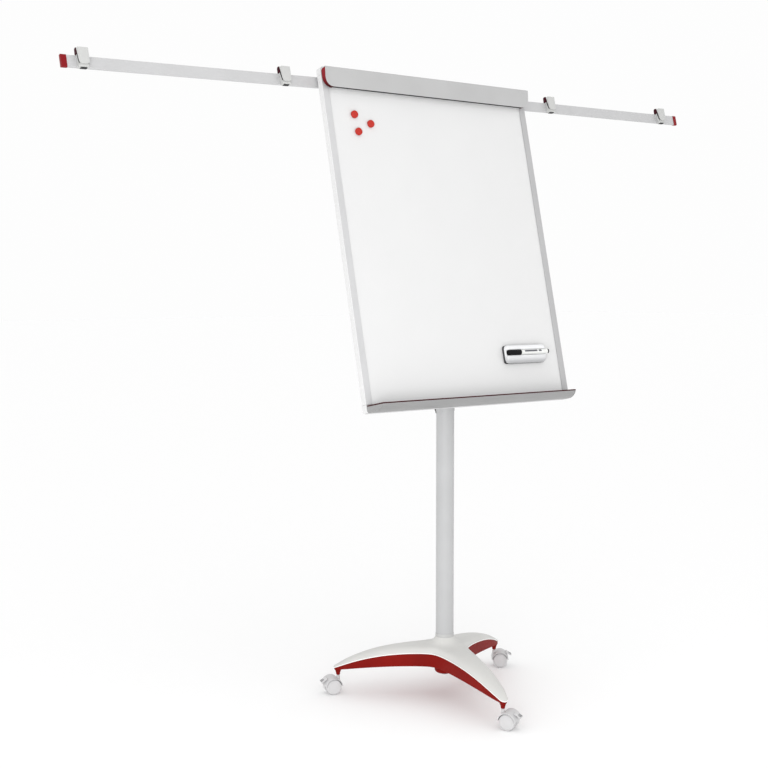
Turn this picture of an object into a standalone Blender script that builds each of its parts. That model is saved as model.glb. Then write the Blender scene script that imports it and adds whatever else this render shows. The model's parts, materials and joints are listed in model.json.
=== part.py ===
"""Mobile flipchart easel on a three-legged castor base, with a tilting magnetic board and two extending side arms.

Units are metres and +Z is up. The board faces -Y, +X is to the right of someone who reads it, and the floor is z = 0.
Pieces on the board are placed in the board's own frame: x to the right, y backwards from the front face of its
frame, z up the board from the top of the pen tray.
"""

import math

import bmesh
import bpy
from mathutils import Matrix, Vector

# ---------------------------------------------------------------- driving dimensions
GAP = 0.0003  # clearance between pieces that touch

POST_Y = 0.064  # the post's axis, which puts the whole easel's box round the origin
POST_RADIUS = 0.025
POST_WALL = 0.0018
POST_FOOT_Z = 0.0683
POST_TOP_Z = 0.8155
INNER_POST_RADIUS = 0.022
INNER_POST_WALL = 0.0016
INNER_POST_FOOT_Z = 0.2935
INNER_POST_TOP_Z = 1.0785
BUSH_RADIUS = 0.0229
HUB_FOOT_Z = 0.0635  # underside of the cup that holds the post's foot
HUB_TOP_Z = 0.142
HUB_OUTER_RADIUS = 0.0285
HUB_FLANGE_RADIUS = 0.040
FRAME_HOLE_RADIUS = 0.0291
SKIRT_HEIGHT = 0.025
COLLAR_RADIUS = 0.0262
COLLAR_LOW_Z = 0.8075
COLLAR_TOP_Z = 0.8385
LEVER_Z = 0.8235
LEVER_FRONT_Y = 0.0295
LEVER_THICKNESS = 0.0095

LEG_ANGLES = {"front": -98.0, "right": 22.0, "left": 142.0}  # plan direction of each leg, degrees from +X
STEM_REACH = 0.303  # from the post's axis to each castor stem
LEG_TIP_RADIUS = 0.013
LEG_ROOT_REACH = 0.033  # along a leg, where its side meets the next leg's side
LEG_ROOT_SPREAD = 0.036
LEG_FILLET = 0.0072
LEG_FILLET_REACH = 0.06
LEG_SIDE_POWER = 0.7
BASE_EDGE_Z = 0.1275  # lower rim of the cover beside the post
BASE_EDGE_DROP = 0.055
BASE_DROP_REACH = 0.315  # where both drops are whole
BASE_EDGE_POWER = 2.3
BASE_LOW_Z = 0.0925  # underside of the base frame beside the post
BASE_LOW_DROP = 0.027
COVER_RIM = 0.003
COVER_DOME = 0.016
COVER_DOME_POWER = 4.0
COVER_THICKNESS = 0.0025
COVER_CENTRE_RADIUS = 0.046
FRAME_INSET = 0.002
FRAME_WALL = 0.003

WHEEL_RADIUS = 0.022
WHEEL_SIDES = 24
WHEEL_INNER_Y = 0.0065
WHEEL_OUTER_Y = 0.0235
AXLE_RADIUS = 0.003
CASTOR_TRAIL = 0.018
CASTOR_WEB_Y = 0.0055
FENDER_RADIUS = 0.0256
FENDER_INNER_RADIUS = 0.0233
STEM_RADIUS = 0.0034
STEM_TOP_Z = 0.0663
SOCKET_LOW_Z = 0.0515
SOCKET_SHOULDER_Z = 0.0635
SOCKET_TOP_Z = 0.0690
SOCKET_RADIUS = 0.009
CASTOR_BOSS_LOW_Z = 0.030
CASTOR_BOSS_TOP_Z = 0.0497
CASTOR_BOSS_RADIUS = 0.0052
BRAKE_PIVOT_ANGLE = 50.0
BRAKE_PIVOT_REACH = 0.0293
CASTOR_HEADINGS = {"front": -63.4, "right": -38.0, "left": 166.0}  # where each castor's wheels trail to

PIVOT_Z = 1.1135  # tilt hinge
BOARD_TILT = 13.48  # degrees that the board leans back
PIVOT_BEHIND_FACE = 0.0584
PIVOT_ABOVE_TRAY = 0.2837
BOARD_WIDTH = 0.705
BOARD_LOW = -0.020
BOARD_TOP = 0.9025
RAIL_WIDTH = 0.020
RAIL_DEPTH = 0.020
RAIL_LIP = 0.0027
RAIL_WALL = 0.0025
RAIL_BACK_LIP = 0.014
CORNER_SIZE = 0.022
CORNER_RADIUS = 0.008
PANEL_FRONT = 0.003
PANEL_THICKNESS = 0.001
CORE_THICKNESS = 0.0067
PANEL_MARGIN = 0.0032

CLAMP_LOW = 0.8437
CLAMP_TOP = 0.8945
CLAMP_CORNER_RADIUS = 0.025
CLAMP_FRONT = 0.0258  # front surface at the top edge, in front of the board's frame
CLAMP_LEAN = 0.0045  # how far the front surface falls back on the way to its lower edge
CLAMP_CURL = 0.0055  # how much further it curls in there
CLAMP_WALL = 0.002
CLAMP_FLANGE_REAR = 0.0065
CLAMP_CHEEK = 0.0024
CLAMP_REAR = 0.0045
CLAMP_REAR_CUT = 0.006  # slanted upper rear corner of each end strip
GRIP_HEIGHT = 0.0053
CLAMP_PIVOT_FRONT = 0.0115
CLAMP_PIVOT_Z = 0.886
CLAMP_LUG_X = 0.200
CLAMP_LUG_HALF = 0.005

TRAY_REACH = 0.050
TRAY_HALF_LENGTH = 0.351
TRAY_END_SLANT = 0.34
TRAY_WALL = 0.0028
TRAY_STRIP = 0.003

ARM_HEIGHT = 0.0295
ARM_THICKNESS = 0.008
ARM_WALL = 0.0013
ARM_CAP_LENGTH = 0.014
ARM_CAP_LIP = 0.0008  # how far a cap stands proud of its tube
ARMS = {
    # outer end and inner end along x, height of the top edge at x = 0, rise in degrees, distance of the front face
    "left": {"outer": -1.050, "inner": -0.105, "top": 0.8914, "rise": 1.36, "front": 0.026},
    "right": {"outer": 1.063, "inner": 0.105, "top": 0.8848, "rise": 0.625, "front": 0.037},
}
CLIPS = {"left_outer": -0.999, "left_inner": -0.4515, "right_inner": 0.4915, "right_outer": 0.982}
CLIP_WIDTH = 0.026
CLIP_ABOVE = 0.0155
CLIP_BELOW = 0.025
CLIP_PAD_FRONT = -0.0122
CLIP_PAD_BACK = 0.0040
CLIP_PLATE = 0.0020
CLIP_CORNER_RADIUS = 0.010

MAGNET_RADIUS = 0.01025
MAGNET_THICKNESS = 0.0075
MAGNETS = ((-0.263, 0.778), (-0.214, 0.7556), (-0.257, 0.731))
ERASER_CENTRE = (0.203, 0.1145)
ERASER_LENGTH = 0.148
ERASER_HEIGHT = 0.051
FELT_THICKNESS = 0.007
ERASER_THICKNESS = 0.0125
MARKER_RADIUS = 0.0078
MARKER_LENGTH = 0.150
MARKER_CAP_LENGTH = 0.046
MARKER_OFFSET = (0.0035, 0.0033)  # the marker's middle, from the eraser's middle

WHITE_PLASTIC = ("white_plastic", (0.72, 0.73, 0.71), 0.35, 0.0)
WHITE_COAT = ("white_powder_coat", (0.62, 0.63, 0.64), 0.45, 0.0)
RED_COAT = ("red_powder_coat", (0.27, 0.012, 0.012), 0.40, 0.0)
RED_PLASTIC = ("red_plastic", (0.36, 0.015, 0.018), 0.38, 0.0)
DARK_RUBBER = ("dark_rubber", (0.02, 0.02, 0.022), 0.75, 0.0)
BLACK_PLASTIC = ("black_plastic", (0.015, 0.015, 0.016), 0.42, 0.0)
BRIGHT_STEEL = ("bright_steel", (0.60, 0.60, 0.61), 0.28, 1.0)
ALUMINIUM = ("coated_aluminium", (0.60, 0.61, 0.62), 0.38, 0.2)
ENAMEL = ("white_enamel", (0.86, 0.86, 0.86), 0.12, 0.0)
CORE_BOARD = ("core_board", (0.45, 0.45, 0.45), 0.70, 0.0)
GREY_FELT = ("grey_felt", (0.18, 0.18, 0.19), 0.95, 0.0)


# ---------------------------------------------------------------- helpers
def clear_scene():
    for thing in list(bpy.data.objects):
        bpy.data.objects.remove(thing, do_unlink=True)


def material(look):
    name, colour, roughness, metallic = look
    found = bpy.data.materials.get(name)
    if found:
        return found
    made = bpy.data.materials.new(name)
    made.use_nodes = True
    shader = made.node_tree.nodes["Principled BSDF"]
    shader.inputs["Base Color"].default_value = (*colour, 1.0)
    shader.inputs["Roughness"].default_value = roughness
    shader.inputs["Metallic"].default_value = metallic
    made.diffuse_color = (*colour, 1.0)
    return made


def empty(name, location=(0, 0, 0), rotation=(0, 0, 0), parent=None):
    made = bpy.data.objects.new(name, None)
    made.location = location
    made.rotation_euler = rotation
    made.parent = parent
    bpy.context.scene.collection.objects.link(made)
    return made


def node(name, shapes, look, parent=None, bevel=0.0, location=(0, 0, 0), rotation=(0, 0, 0)):
    """One object from closed shapes, each a (points, faces) pair, with its faces turned outwards."""
    mesh = bpy.data.meshes.new(name)
    points = []
    faces = []
    for shape_points, shape_faces in shapes:
        start = len(points)
        points += [tuple(p) for p in shape_points]
        faces += [[start + i for i in face] for face in shape_faces]
    mesh.from_pydata(points, [], faces)
    work = bmesh.new()
    work.from_mesh(mesh)
    bmesh.ops.recalc_face_normals(work, faces=work.faces)
    work.to_mesh(mesh)
    work.free()
    mesh.shade_smooth()
    mesh.set_sharp_from_angle(angle=math.radians(32))
    made = bpy.data.objects.new(name, mesh)
    made.location = location
    made.rotation_euler = rotation
    made.parent = parent
    bpy.context.scene.collection.objects.link(made)
    mesh.materials.append(material(look))
    if bevel:
        edge = made.modifiers.new("edge_round", "BEVEL")
        edge.width = bevel
        edge.segments = 1
        edge.limit_method = "ANGLE"
        edge.angle_limit = math.radians(50)
    return made


def boolean(target, operation, tool_name, shapes):
    """Cuts or joins closed shapes, given in the target's own frame, with an unseen helper object."""
    tool = node(tool_name, shapes, BRIGHT_STEEL, target)
    tool.hide_render = True
    tool.display_type = "WIRE"
    change = target.modifiers.new(tool_name, "BOOLEAN")
    change.operation = operation
    change.solver = "EXACT"
    change.object = tool
    return change


def box(low, high):
    xs, ys, zs = zip(low, high)
    points = [(x, y, z) for x in xs for y in ys for z in zs]
    faces = [(0, 1, 3, 2), (4, 6, 7, 5), (0, 4, 5, 1), (2, 3, 7, 6), (0, 2, 6, 4), (1, 5, 7, 3)]
    return points, faces


def loft(loops, closed=False):
    """Skin over loops of equal length, capped at both ends, or joined end to end when closed."""
    count = len(loops[0])
    points = [p for loop in loops for p in loop]
    faces = []
    rows = len(loops) if closed else len(loops) - 1
    for row in range(rows):
        here = row * count
        there = ((row + 1) % len(loops)) * count
        for i in range(count):
            j = (i + 1) % count
            faces.append((here + i, here + j, there + j, there + i))
    if not closed:
        faces.append(tuple(range(count)))
        last = (len(loops) - 1) * count
        faces.append(tuple(last + i for i in reversed(range(count))))
    return points, faces


def along(axis, u, v, w):
    """Point with w along an axis: the other two are (x, y) for Z, (x, z) for Y and (y, z) for X."""
    return {"X": (w, u, v), "Y": (u, w, v), "Z": (u, v, w)}[axis]


def prism(outline, start, end, axis="Z"):
    """Extrudes a 2D outline along an axis. The outline is (x, y) for Z, (x, z) for Y and (y, z) for X."""
    return loft([[along(axis, u, v, w) for u, v in outline] for w in (start, end)])


def ring(inner, outer, start, end, axis="Z"):
    """A prism with a hole: two outlines with the same number of points."""
    loops = [(outer, start), (outer, end), (inner, end), (inner, start)]
    return loft([[along(axis, u, v, w) for u, v in outline] for outline, w in loops], closed=True)


def turned(profile, sides, centre=(0, 0, 0), axis="Z", phase=0.0):
    """Solid of revolution round an axis. Profile points are (radius, height); radius 0 at both ends means no bore."""
    solid = profile[0][0] == 0
    rims = profile[1:-1] if solid else profile
    points = []
    for radius, height in rims:
        for i in range(sides):
            angle = phase + 2 * math.pi * i / sides
            points.append((radius * math.cos(angle), radius * math.sin(angle), height))
    faces = []
    rows = len(rims) - 1 if solid else len(rims)
    for row in range(rows):
        here = row * sides
        there = ((row + 1) % len(rims)) * sides
        for i in range(sides):
            j = (i + 1) % sides
            faces.append((here + i, here + j, there + j, there + i))
    if solid:
        faces.append(tuple(range(sides)))
        last = (len(rims) - 1) * sides
        faces.append(tuple(last + i for i in reversed(range(sides))))
    turn = {"X": Matrix.Rotation(math.pi / 2, 4, "Y"), "Y": Matrix.Rotation(-math.pi / 2, 4, "X"), "Z": Matrix()}[axis]
    return moved((points, faces), Matrix.Translation(centre) @ turn)


def cylinder(radius, start, end, sides, centre=(0, 0, 0), axis="Z", phase=0.0):
    return turned([(0, start), (radius, start), (radius, end), (0, end)], sides, centre, axis, phase)


def moved(shape, matrix):
    points, faces = shape
    return [tuple(matrix @ Vector(p)) for p in points], faces


def arc(centre, radius, start, end, steps):
    """Points of a round stretch, from start to end in degrees."""
    angles = [math.radians(start + (end - start) * i / steps) for i in range(steps + 1)]
    return [(centre[0] + radius * math.cos(a), centre[1] + radius * math.sin(a)) for a in angles]


def rounded_rectangle(low, high, radius, steps=4):
    (x0, z0), (x1, z1) = low, high
    corners = [
        ((x1 - radius, z0 + radius), -90),
        ((x1 - radius, z1 - radius), 0),
        ((x0 + radius, z1 - radius), 90),
        ((x0 + radius, z0 + radius), 180),
    ]
    return [p for centre, start in corners for p in arc(centre, radius, start, start + 90, steps)]


# ---------------------------------------------------------------- base
def leg_half_width(u):
    """Half the leg's width, from u = 0 where two legs meet to u = 1 at the castor stem."""
    taper = LEG_ROOT_SPREAD * (1 - u) ** LEG_SIDE_POWER
    return LEG_TIP_RADIUS + taper + LEG_FILLET * math.exp(-u / LEG_FILLET_REACH)


def base_outline():
    """Plan outline of the whole three-legged star, anticlockwise."""
    steps = [0.0, 0.03, 0.08, 0.18, 0.32, 0.48, 0.64, 0.78, 0.89, 0.96]
    side = [(LEG_ROOT_REACH + (STEM_REACH - LEG_ROOT_REACH) * u, leg_half_width(u)) for u in steps]
    tip = arc((STEM_REACH, 0), LEG_TIP_RADIUS, -80, 80, 6)
    leg = [(x, -w) for x, w in side] + tip + [(x, w) for x, w in reversed(side[1:])]
    outline = []
    for angle in sorted(LEG_ANGLES.values()):
        turn = Matrix.Rotation(math.radians(angle), 2)
        outline += [tuple(turn @ Vector(p)) for p in leg]
    return outline


def inset(outline, distance):
    """Moves each point of an anticlockwise outline inwards."""
    count = len(outline)
    result = []
    for i in range(count):
        before, here, after = (Vector(outline[(i + k) % count]) for k in (-1, 0, 1))
        heading = ((here - before).normalized() + (after - here).normalized()).normalized()
        result.append((here.x - heading.y * distance, here.y + heading.x * distance))
    return result


def edge_height(reach):
    return BASE_EDGE_Z - BASE_EDGE_DROP * (reach / BASE_DROP_REACH) ** BASE_EDGE_POWER


def low_height(reach):
    return BASE_LOW_Z - BASE_LOW_DROP * (reach / BASE_DROP_REACH) ** 2


def cover_height(reach, rim_reach):
    """Top of the cover: flat round the post, then domed down to its rim."""
    beyond = max(0.0, (reach - COVER_CENTRE_RADIUS) / (rim_reach - COVER_CENTRE_RADIUS))
    dome = COVER_DOME * (1 - beyond ** COVER_DOME_POWER)
    return edge_height(max(reach, COVER_CENTRE_RADIUS)) + COVER_RIM + dome


def base_cover(parent):
    outline = base_outline()
    under = inset(outline, COVER_RIM)
    bore = POST_RADIUS + 2 * GAP
    top_rings = []
    low_rings = []
    for part in (0.0, 0.10, 0.25, 0.42, 0.60, 0.77, 0.91, 1.0):
        top = []
        low = []
        for edge, inner_edge in zip(outline, under):
            for reach_list, point in ((top, edge), (low, inner_edge)):
                rim_reach = math.hypot(*point)
                reach = bore + (rim_reach - bore) * part
                height = cover_height(reach, rim_reach)
                if reach_list is low:
                    height -= COVER_THICKNESS
                reach_list.append((point[0] / rim_reach * reach, point[1] / rim_reach * reach, height))
        top_rings.append(top)
        low_rings.append(low)
    rim_outer = [(x, y, edge_height(math.hypot(x, y))) for x, y in outline]
    rim_inner = [(x, y, edge_height(math.hypot(x, y))) for x, y in under]
    loops = top_rings + [rim_outer, rim_inner] + list(reversed(low_rings))[1:]
    return node("base_cover", [loft(loops, closed=True)], WHITE_PLASTIC, parent)


def base_frame(parent):
    outline = base_outline()
    outer = inset(outline, FRAME_INSET)
    inner = inset(outline, FRAME_INSET + FRAME_WALL)
    web = 0.62  # share of the reach where the underside's flat middle ends

    def rise(points, height):
        return [(x, y, height(math.hypot(x, y))) for x, y in points]

    def hole_ring(height):
        scales = [FRAME_HOLE_RADIUS / math.hypot(x, y) for x, y in outline]
        return [(x * k, y * k, height) for (x, y), k in zip(outline, scales)]

    middle = [(x * web, y * web) for x, y in inner]
    loops = [
        hole_ring(BASE_LOW_Z),
        rise(middle, low_height),
        rise(inner, low_height),
        rise(outer, lambda r: low_height(r) + 0.0018),
        rise(outer, lambda r: edge_height(r) - GAP),
        rise(inner, lambda r: edge_height(r) - GAP),
        rise(inner, lambda r: low_height(r) + FRAME_WALL),
        rise(middle, lambda r: low_height(r) + FRAME_WALL),
        hole_ring(BASE_LOW_Z + FRAME_WALL),
    ]
    frame = node("base_frame", [loft(loops, closed=True)], RED_COAT, parent)
    bore = STEM_RADIUS + 2 * GAP
    socket = [
        (0, SOCKET_LOW_Z), (bore + 0.0012, SOCKET_LOW_Z), (SOCKET_RADIUS, SOCKET_SHOULDER_Z),
        (SOCKET_RADIUS, SOCKET_TOP_Z), (0, SOCKET_TOP_Z),
    ]
    boolean(frame, "UNION", "socket_bodies", [turned(socket, 16, (*stem_place(leg), 0)) for leg in LEG_ANGLES])
    low, high = SOCKET_LOW_Z - 0.005, STEM_TOP_Z + 0.0005
    bores = [cylinder(bore, low, high, 16, (*stem_place(leg), 0)) for leg in LEG_ANGLES]
    boolean(frame, "DIFFERENCE", "socket_bores", bores)
    return frame


def stem_place(leg):
    angle = math.radians(LEG_ANGLES[leg])
    return STEM_REACH * math.cos(angle), STEM_REACH * math.sin(angle)


def post_parts(parent):
    over_post = POST_RADIUS + 0.0004
    bolt_hole = 0.0045
    flange_low = BASE_LOW_Z + FRAME_WALL + GAP
    cup = [
        (bolt_hole, HUB_FOOT_Z), (0.021, HUB_FOOT_Z), (0.0265, HUB_FOOT_Z + 0.0035),
        (HUB_OUTER_RADIUS, HUB_FOOT_Z + 0.010), (HUB_OUTER_RADIUS, flange_low), (HUB_FLANGE_RADIUS, flange_low),
        (HUB_FLANGE_RADIUS, flange_low + 0.0032), (0.0305, flange_low + 0.0032), (0.0305, HUB_TOP_Z),
        (over_post, HUB_TOP_Z), (over_post, POST_FOOT_Z - GAP), (bolt_hole, POST_FOOT_Z - GAP),
    ]
    node("hub_cup", [turned(cup, 32)], RED_COAT, parent)
    low = cover_height(0, STEM_REACH) + GAP
    bore = POST_RADIUS + 2 * GAP
    skirt = [
        (bore, low), (0.0450, low), (0.0445, low + 0.0010), (0.0380, low + 0.0035), (0.0325, low + 0.0080),
        (0.0290, low + 0.0135), (0.0268, low + 0.0200), (0.0262, low + SKIRT_HEIGHT), (bore, low + SKIRT_HEIGHT),
    ]
    node("post_skirt", [turned(skirt, 32)], WHITE_PLASTIC, parent)
    inside = POST_RADIUS - POST_WALL
    foot_plate = 0.006
    tube = [
        (bolt_hole, POST_FOOT_Z), (POST_RADIUS, POST_FOOT_Z), (POST_RADIUS, POST_TOP_Z), (inside, POST_TOP_Z),
        (inside, POST_FOOT_Z + foot_plate), (bolt_hole, POST_FOOT_Z + foot_plate),
    ]
    node("outer_post", [turned(tube, 32)], WHITE_COAT, parent)
    head_low, head_top, end = HUB_FOOT_Z - 0.0058, HUB_FOOT_Z - GAP, POST_FOOT_Z + 0.017
    bolt = [(0, head_low), (0.0085, head_low), (0.0085, head_top), (0.004, head_top), (0.004, end), (0, end)]
    node("post_bolt", [turned(bolt, 12)], BRIGHT_STEEL, parent)
    bush_low, bush_top = POST_TOP_Z - 0.070, POST_TOP_Z - 0.001
    bush_bore = INNER_POST_RADIUS + GAP
    bush = [(bush_bore, bush_low), (BUSH_RADIUS, bush_low), (BUSH_RADIUS, bush_top), (bush_bore, bush_top)]
    node("guide_bush", [turned(bush, 32)], BLACK_PLASTIC, parent)


def post_collar(parent):
    inside = INNER_POST_RADIUS + 2 * GAP
    over_post = POST_RADIUS + GAP
    profile = [
        (over_post, COLLAR_LOW_Z), (COLLAR_RADIUS - 0.0004, COLLAR_LOW_Z), (COLLAR_RADIUS, COLLAR_LOW_Z + 0.0004),
        (COLLAR_RADIUS, COLLAR_TOP_Z - 0.0020), (COLLAR_RADIUS - 0.0020, COLLAR_TOP_Z), (inside, COLLAR_TOP_Z),
        (inside, POST_TOP_Z + GAP), (over_post, POST_TOP_Z + GAP),
    ]
    collar = node("post_collar", [turned(profile, 32)], WHITE_PLASTIC, parent)
    lug = box((-0.008, COLLAR_RADIUS - 0.002, LEVER_Z - 0.007), (0.008, LEVER_FRONT_Y - GAP, LEVER_Z + 0.007))
    boolean(collar, "UNION", "collar_lug", [lug])
    bore = cylinder(0.0036, 0.018, 0.040, 12, (0, 0, LEVER_Z), "Y")
    boolean(collar, "DIFFERENCE", "collar_bore", [bore])


def height_lever(post):
    """Hangs from a screw through the back of the collar, and turns about the screw's axis."""
    axis = empty("height_lever_axis", (0, 0, LEVER_Z), parent=post)
    hub = arc((0, 0), 0.0080, -15, 195, 10)
    tip = arc((0, -0.0235), 0.0045, 195, 345, 6)
    handle = prism(hub + tip, LEVER_FRONT_Y, LEVER_FRONT_Y + LEVER_THICKNESS, "Y")
    lever = node("height_lever", [handle], BLACK_PLASTIC, axis)
    screw = cylinder(0.0030, INNER_POST_RADIUS + 2 * GAP, LEVER_FRONT_Y + 0.003, 12, axis="Y")
    boolean(lever, "UNION", "lever_screw", [screw])


def caster(leg, post):
    """Twin-wheel castor in its own frame: stem axis at x = y = 0, wheels trailing towards +x."""
    axle_z = WHEEL_RADIUS * math.cos(math.pi / WHEEL_SIDES)
    heading = math.radians(CASTOR_HEADINGS[leg])
    swivel = empty(f"caster_{leg}_swivel", (*stem_place(leg), 0), (0, 0, heading), post)
    hood_shell(leg, swivel, axle_z)
    axle = empty(f"caster_{leg}_axle", (CASTOR_TRAIL, 0, axle_z), parent=swivel)
    wheels = turned(wheel_profile(), WHEEL_SIDES, axis="Y", phase=math.pi / WHEEL_SIDES)
    node(f"caster_{leg}_wheels", [wheels], WHITE_PLASTIC, axle)
    brake_pedal(leg, swivel, axle_z)


def wheel_profile():
    """Half section of two wheels and the axle that they are pressed on, with rounded treads and dished faces."""
    half = [
        (AXLE_RADIUS, WHEEL_INNER_Y), (WHEEL_RADIUS - 0.0015, WHEEL_INNER_Y), (WHEEL_RADIUS, WHEEL_INNER_Y + 0.0015),
        (WHEEL_RADIUS, WHEEL_OUTER_Y - 0.0035), (WHEEL_RADIUS - 0.0010, WHEEL_OUTER_Y - 0.0013),
        (WHEEL_RADIUS - 0.0035, WHEEL_OUTER_Y), (0.009, WHEEL_OUTER_Y - 0.0006), (0.0045, WHEEL_OUTER_Y - 0.0016),
        (0, WHEEL_OUTER_Y - 0.0016),
    ]
    return [(radius, -y) for radius, y in reversed(half)] + half


def hood_shell(leg, swivel, axle_z):
    """Solid block over both wheels, hollowed by a pocket for each, with a boss and the stem that it swivels on."""
    centre = (CASTOR_TRAIL, axle_z)
    top = arc(centre, FENDER_RADIUS, 8, 172, 16)
    hub = [(CASTOR_TRAIL - 0.008, axle_z - 0.006), (CASTOR_TRAIL + 0.008, axle_z - 0.006)]
    block = prism(top + hub, -WHEEL_OUTER_Y, WHEEL_OUTER_Y, "Y")
    hood = node(f"caster_{leg}_hood", [block], WHITE_PLASTIC, swivel)
    boss = turned([
        (0, CASTOR_BOSS_LOW_Z), (CASTOR_BOSS_RADIUS, CASTOR_BOSS_LOW_Z),
        (CASTOR_BOSS_RADIUS, CASTOR_BOSS_TOP_Z - 0.004), (CASTOR_BOSS_RADIUS - 0.0008, CASTOR_BOSS_TOP_Z),
        (STEM_RADIUS, CASTOR_BOSS_TOP_Z), (STEM_RADIUS, STEM_TOP_Z), (0, STEM_TOP_Z),
    ], 16)
    angle = math.radians(BRAKE_PIVOT_ANGLE)
    turn = Matrix.Translation((CASTOR_TRAIL, 0, axle_z)) @ Matrix.Rotation(-angle, 4, "Y")
    lugs = []
    for side in (-1, 1):
        ends = sorted((side * 0.0096, side * 0.0118))
        lug = box((FENDER_RADIUS - 0.0015, ends[0], -0.003), (BRAKE_PIVOT_REACH + 0.0020, ends[1], 0.003))
        lugs.append(moved(lug, turn))
    boolean(hood, "UNION", f"{leg}_boss", [boss] + lugs)
    pockets = []
    for side in (-1, 1):
        ends = sorted((side * CASTOR_WEB_Y, side * 0.030))
        pockets.append(cylinder(FENDER_INNER_RADIUS, *ends, WHEEL_SIDES, (CASTOR_TRAIL, 0, axle_z), "Y"))
    boolean(hood, "DIFFERENCE", f"{leg}_pockets", pockets)
    axle_bore = cylinder(AXLE_RADIUS + 2 * GAP, -0.02, 0.02, WHEEL_SIDES, (CASTOR_TRAIL, 0, axle_z), "Y")
    boolean(hood, "DIFFERENCE", f"{leg}_axle_bore", [axle_bore])


def brake_pedal(leg, swivel, axle_z):
    angle = math.radians(BRAKE_PIVOT_ANGLE)
    x = CASTOR_TRAIL + BRAKE_PIVOT_REACH * math.cos(angle)
    z = axle_z + BRAKE_PIVOT_REACH * math.sin(angle)
    axis = empty(f"caster_{leg}_brake_axis", (x, 0, z), parent=swivel)
    slope = math.radians(-30)
    hub = arc((0, 0), 0.0024, 60, 240, 6)
    tip = arc((0.0165 * math.cos(slope), 0.0165 * math.sin(slope)), 0.0014, -120, 60, 4)
    pedal = prism(hub + tip, -0.0092, 0.0092, "Y")
    node(f"caster_{leg}_brake", [pedal], WHITE_PLASTIC, axis)


# ---------------------------------------------------------------- inner post and tilt head
def inner_post(post):
    inside = INNER_POST_RADIUS - INNER_POST_WALL
    tube = [
        (inside, INNER_POST_FOOT_Z), (INNER_POST_RADIUS, INNER_POST_FOOT_Z),
        (INNER_POST_RADIUS, INNER_POST_TOP_Z), (inside, INNER_POST_TOP_Z),
    ]
    node("inner_post", [turned(tube, 32)], WHITE_COAT, post)
    foot = INNER_POST_FOOT_Z - GAP
    glide = [(0, foot - 0.020), (BUSH_RADIUS, foot - 0.020), (BUSH_RADIUS, foot), (0, foot)]
    node("post_glide", [turned(glide, 24)], BLACK_PLASTIC, post)
    cap_low = INNER_POST_TOP_Z + GAP
    plug = turned([
        (0, cap_low - 0.030), (inside - GAP, cap_low - 0.030), (inside - GAP, cap_low), (0.0245, cap_low),
        (0.0245, cap_low + 0.009), (0.0225, cap_low + 0.011), (0, cap_low + 0.011),
    ], 32)
    head = node("tilt_head", [plug], BLACK_PLASTIC, post)
    dome = arc((0, PIVOT_Z), 0.016, 0, 180, 10)
    tongue = prism(dome + [(-0.016, cap_low + 0.004), (0.016, cap_low + 0.004)], -0.010, 0.010, "X")
    boolean(head, "UNION", "head_tongue", [tongue])
    boolean(head, "DIFFERENCE", "head_bore", [cylinder(0.0046, -0.02, 0.02, 12, (0, 0, PIVOT_Z), "X")])


def tilt_knob(pivot):
    """Clamping bolt on the tilt axis with a six-lobed knob on the left and a nut on the right."""
    lobes = []
    for i in range(24):
        angle = 2 * math.pi * i / 24
        radius = 0.0165 + 0.0022 * math.cos(6 * angle)
        lobes.append((radius * math.cos(angle), radius * math.sin(angle)))
    knob = node("tilt_knob", [prism(lobes, -0.0370, -0.0152, "X")], BLACK_PLASTIC, pivot)
    boolean(knob, "UNION", "tilt_bolt", [cylinder(0.0040, -0.020, 0.0240, 12, axis="X")])
    nut = turned([(0.0044, 0.0150), (0.0080, 0.0150), (0.0080, 0.0210), (0.0044, 0.0210)], 12, axis="X")
    node("tilt_nut", [nut], BRIGHT_STEEL, pivot)


# ---------------------------------------------------------------- board
def panel_outline(margin):
    """Panel with its corners notched round the corner pieces."""
    x = BOARD_WIDTH / 2 - margin
    notch_x = BOARD_WIDTH / 2 - CORNER_SIZE - GAP
    low, high = BOARD_LOW + margin, BOARD_TOP - margin
    notch_low, notch_high = BOARD_LOW + CORNER_SIZE + GAP, BOARD_TOP - CORNER_SIZE - GAP
    return [
        (-notch_x, low), (notch_x, low), (notch_x, notch_low), (x, notch_low), (x, notch_high), (notch_x, notch_high),
        (notch_x, high), (-notch_x, high), (-notch_x, notch_high), (-x, notch_high), (-x, notch_low),
        (-notch_x, notch_low),
    ]


def panels(board):
    front = PANEL_FRONT
    back = front + PANEL_THICKNESS
    outline = panel_outline(PANEL_MARGIN)
    node("writing_panel", [prism(outline, front, back, "Y")], ENAMEL, board)
    node("back_panel", [prism(outline, back + GAP, back + GAP + CORE_THICKNESS, "Y")], CORE_BOARD, board)


def rail_section():
    """C profile: u runs from the outer face inwards, v from the front face backwards."""
    return [
        (0, 0), (RAIL_WIDTH, 0), (RAIL_WIDTH, RAIL_LIP), (RAIL_WALL, RAIL_LIP), (RAIL_WALL, RAIL_DEPTH - RAIL_WALL),
        (RAIL_BACK_LIP, RAIL_DEPTH - RAIL_WALL), (RAIL_BACK_LIP, RAIL_DEPTH), (0, RAIL_DEPTH),
    ]


def frame_rails(board):
    half = BOARD_WIDTH / 2
    low, high = BOARD_LOW + CORNER_SIZE + GAP, BOARD_TOP - CORNER_SIZE - GAP
    for name, side in (("frame_left", -1), ("frame_right", 1)):
        section = [(side * (half - u), v) for u, v in rail_section()]
        node(name, [prism(section, low, high, "Z")], ALUMINIUM, board, bevel=0.0007)
    reach = half - CORNER_SIZE - GAP
    for name, edge, side in (("frame_bottom", BOARD_LOW, 1), ("frame_top", BOARD_TOP, -1)):
        section = [(v, edge + side * u) for u, v in rail_section()]
        node(name, [prism(section, -reach, reach, "X")], ALUMINIUM, board, bevel=0.0007)


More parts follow.
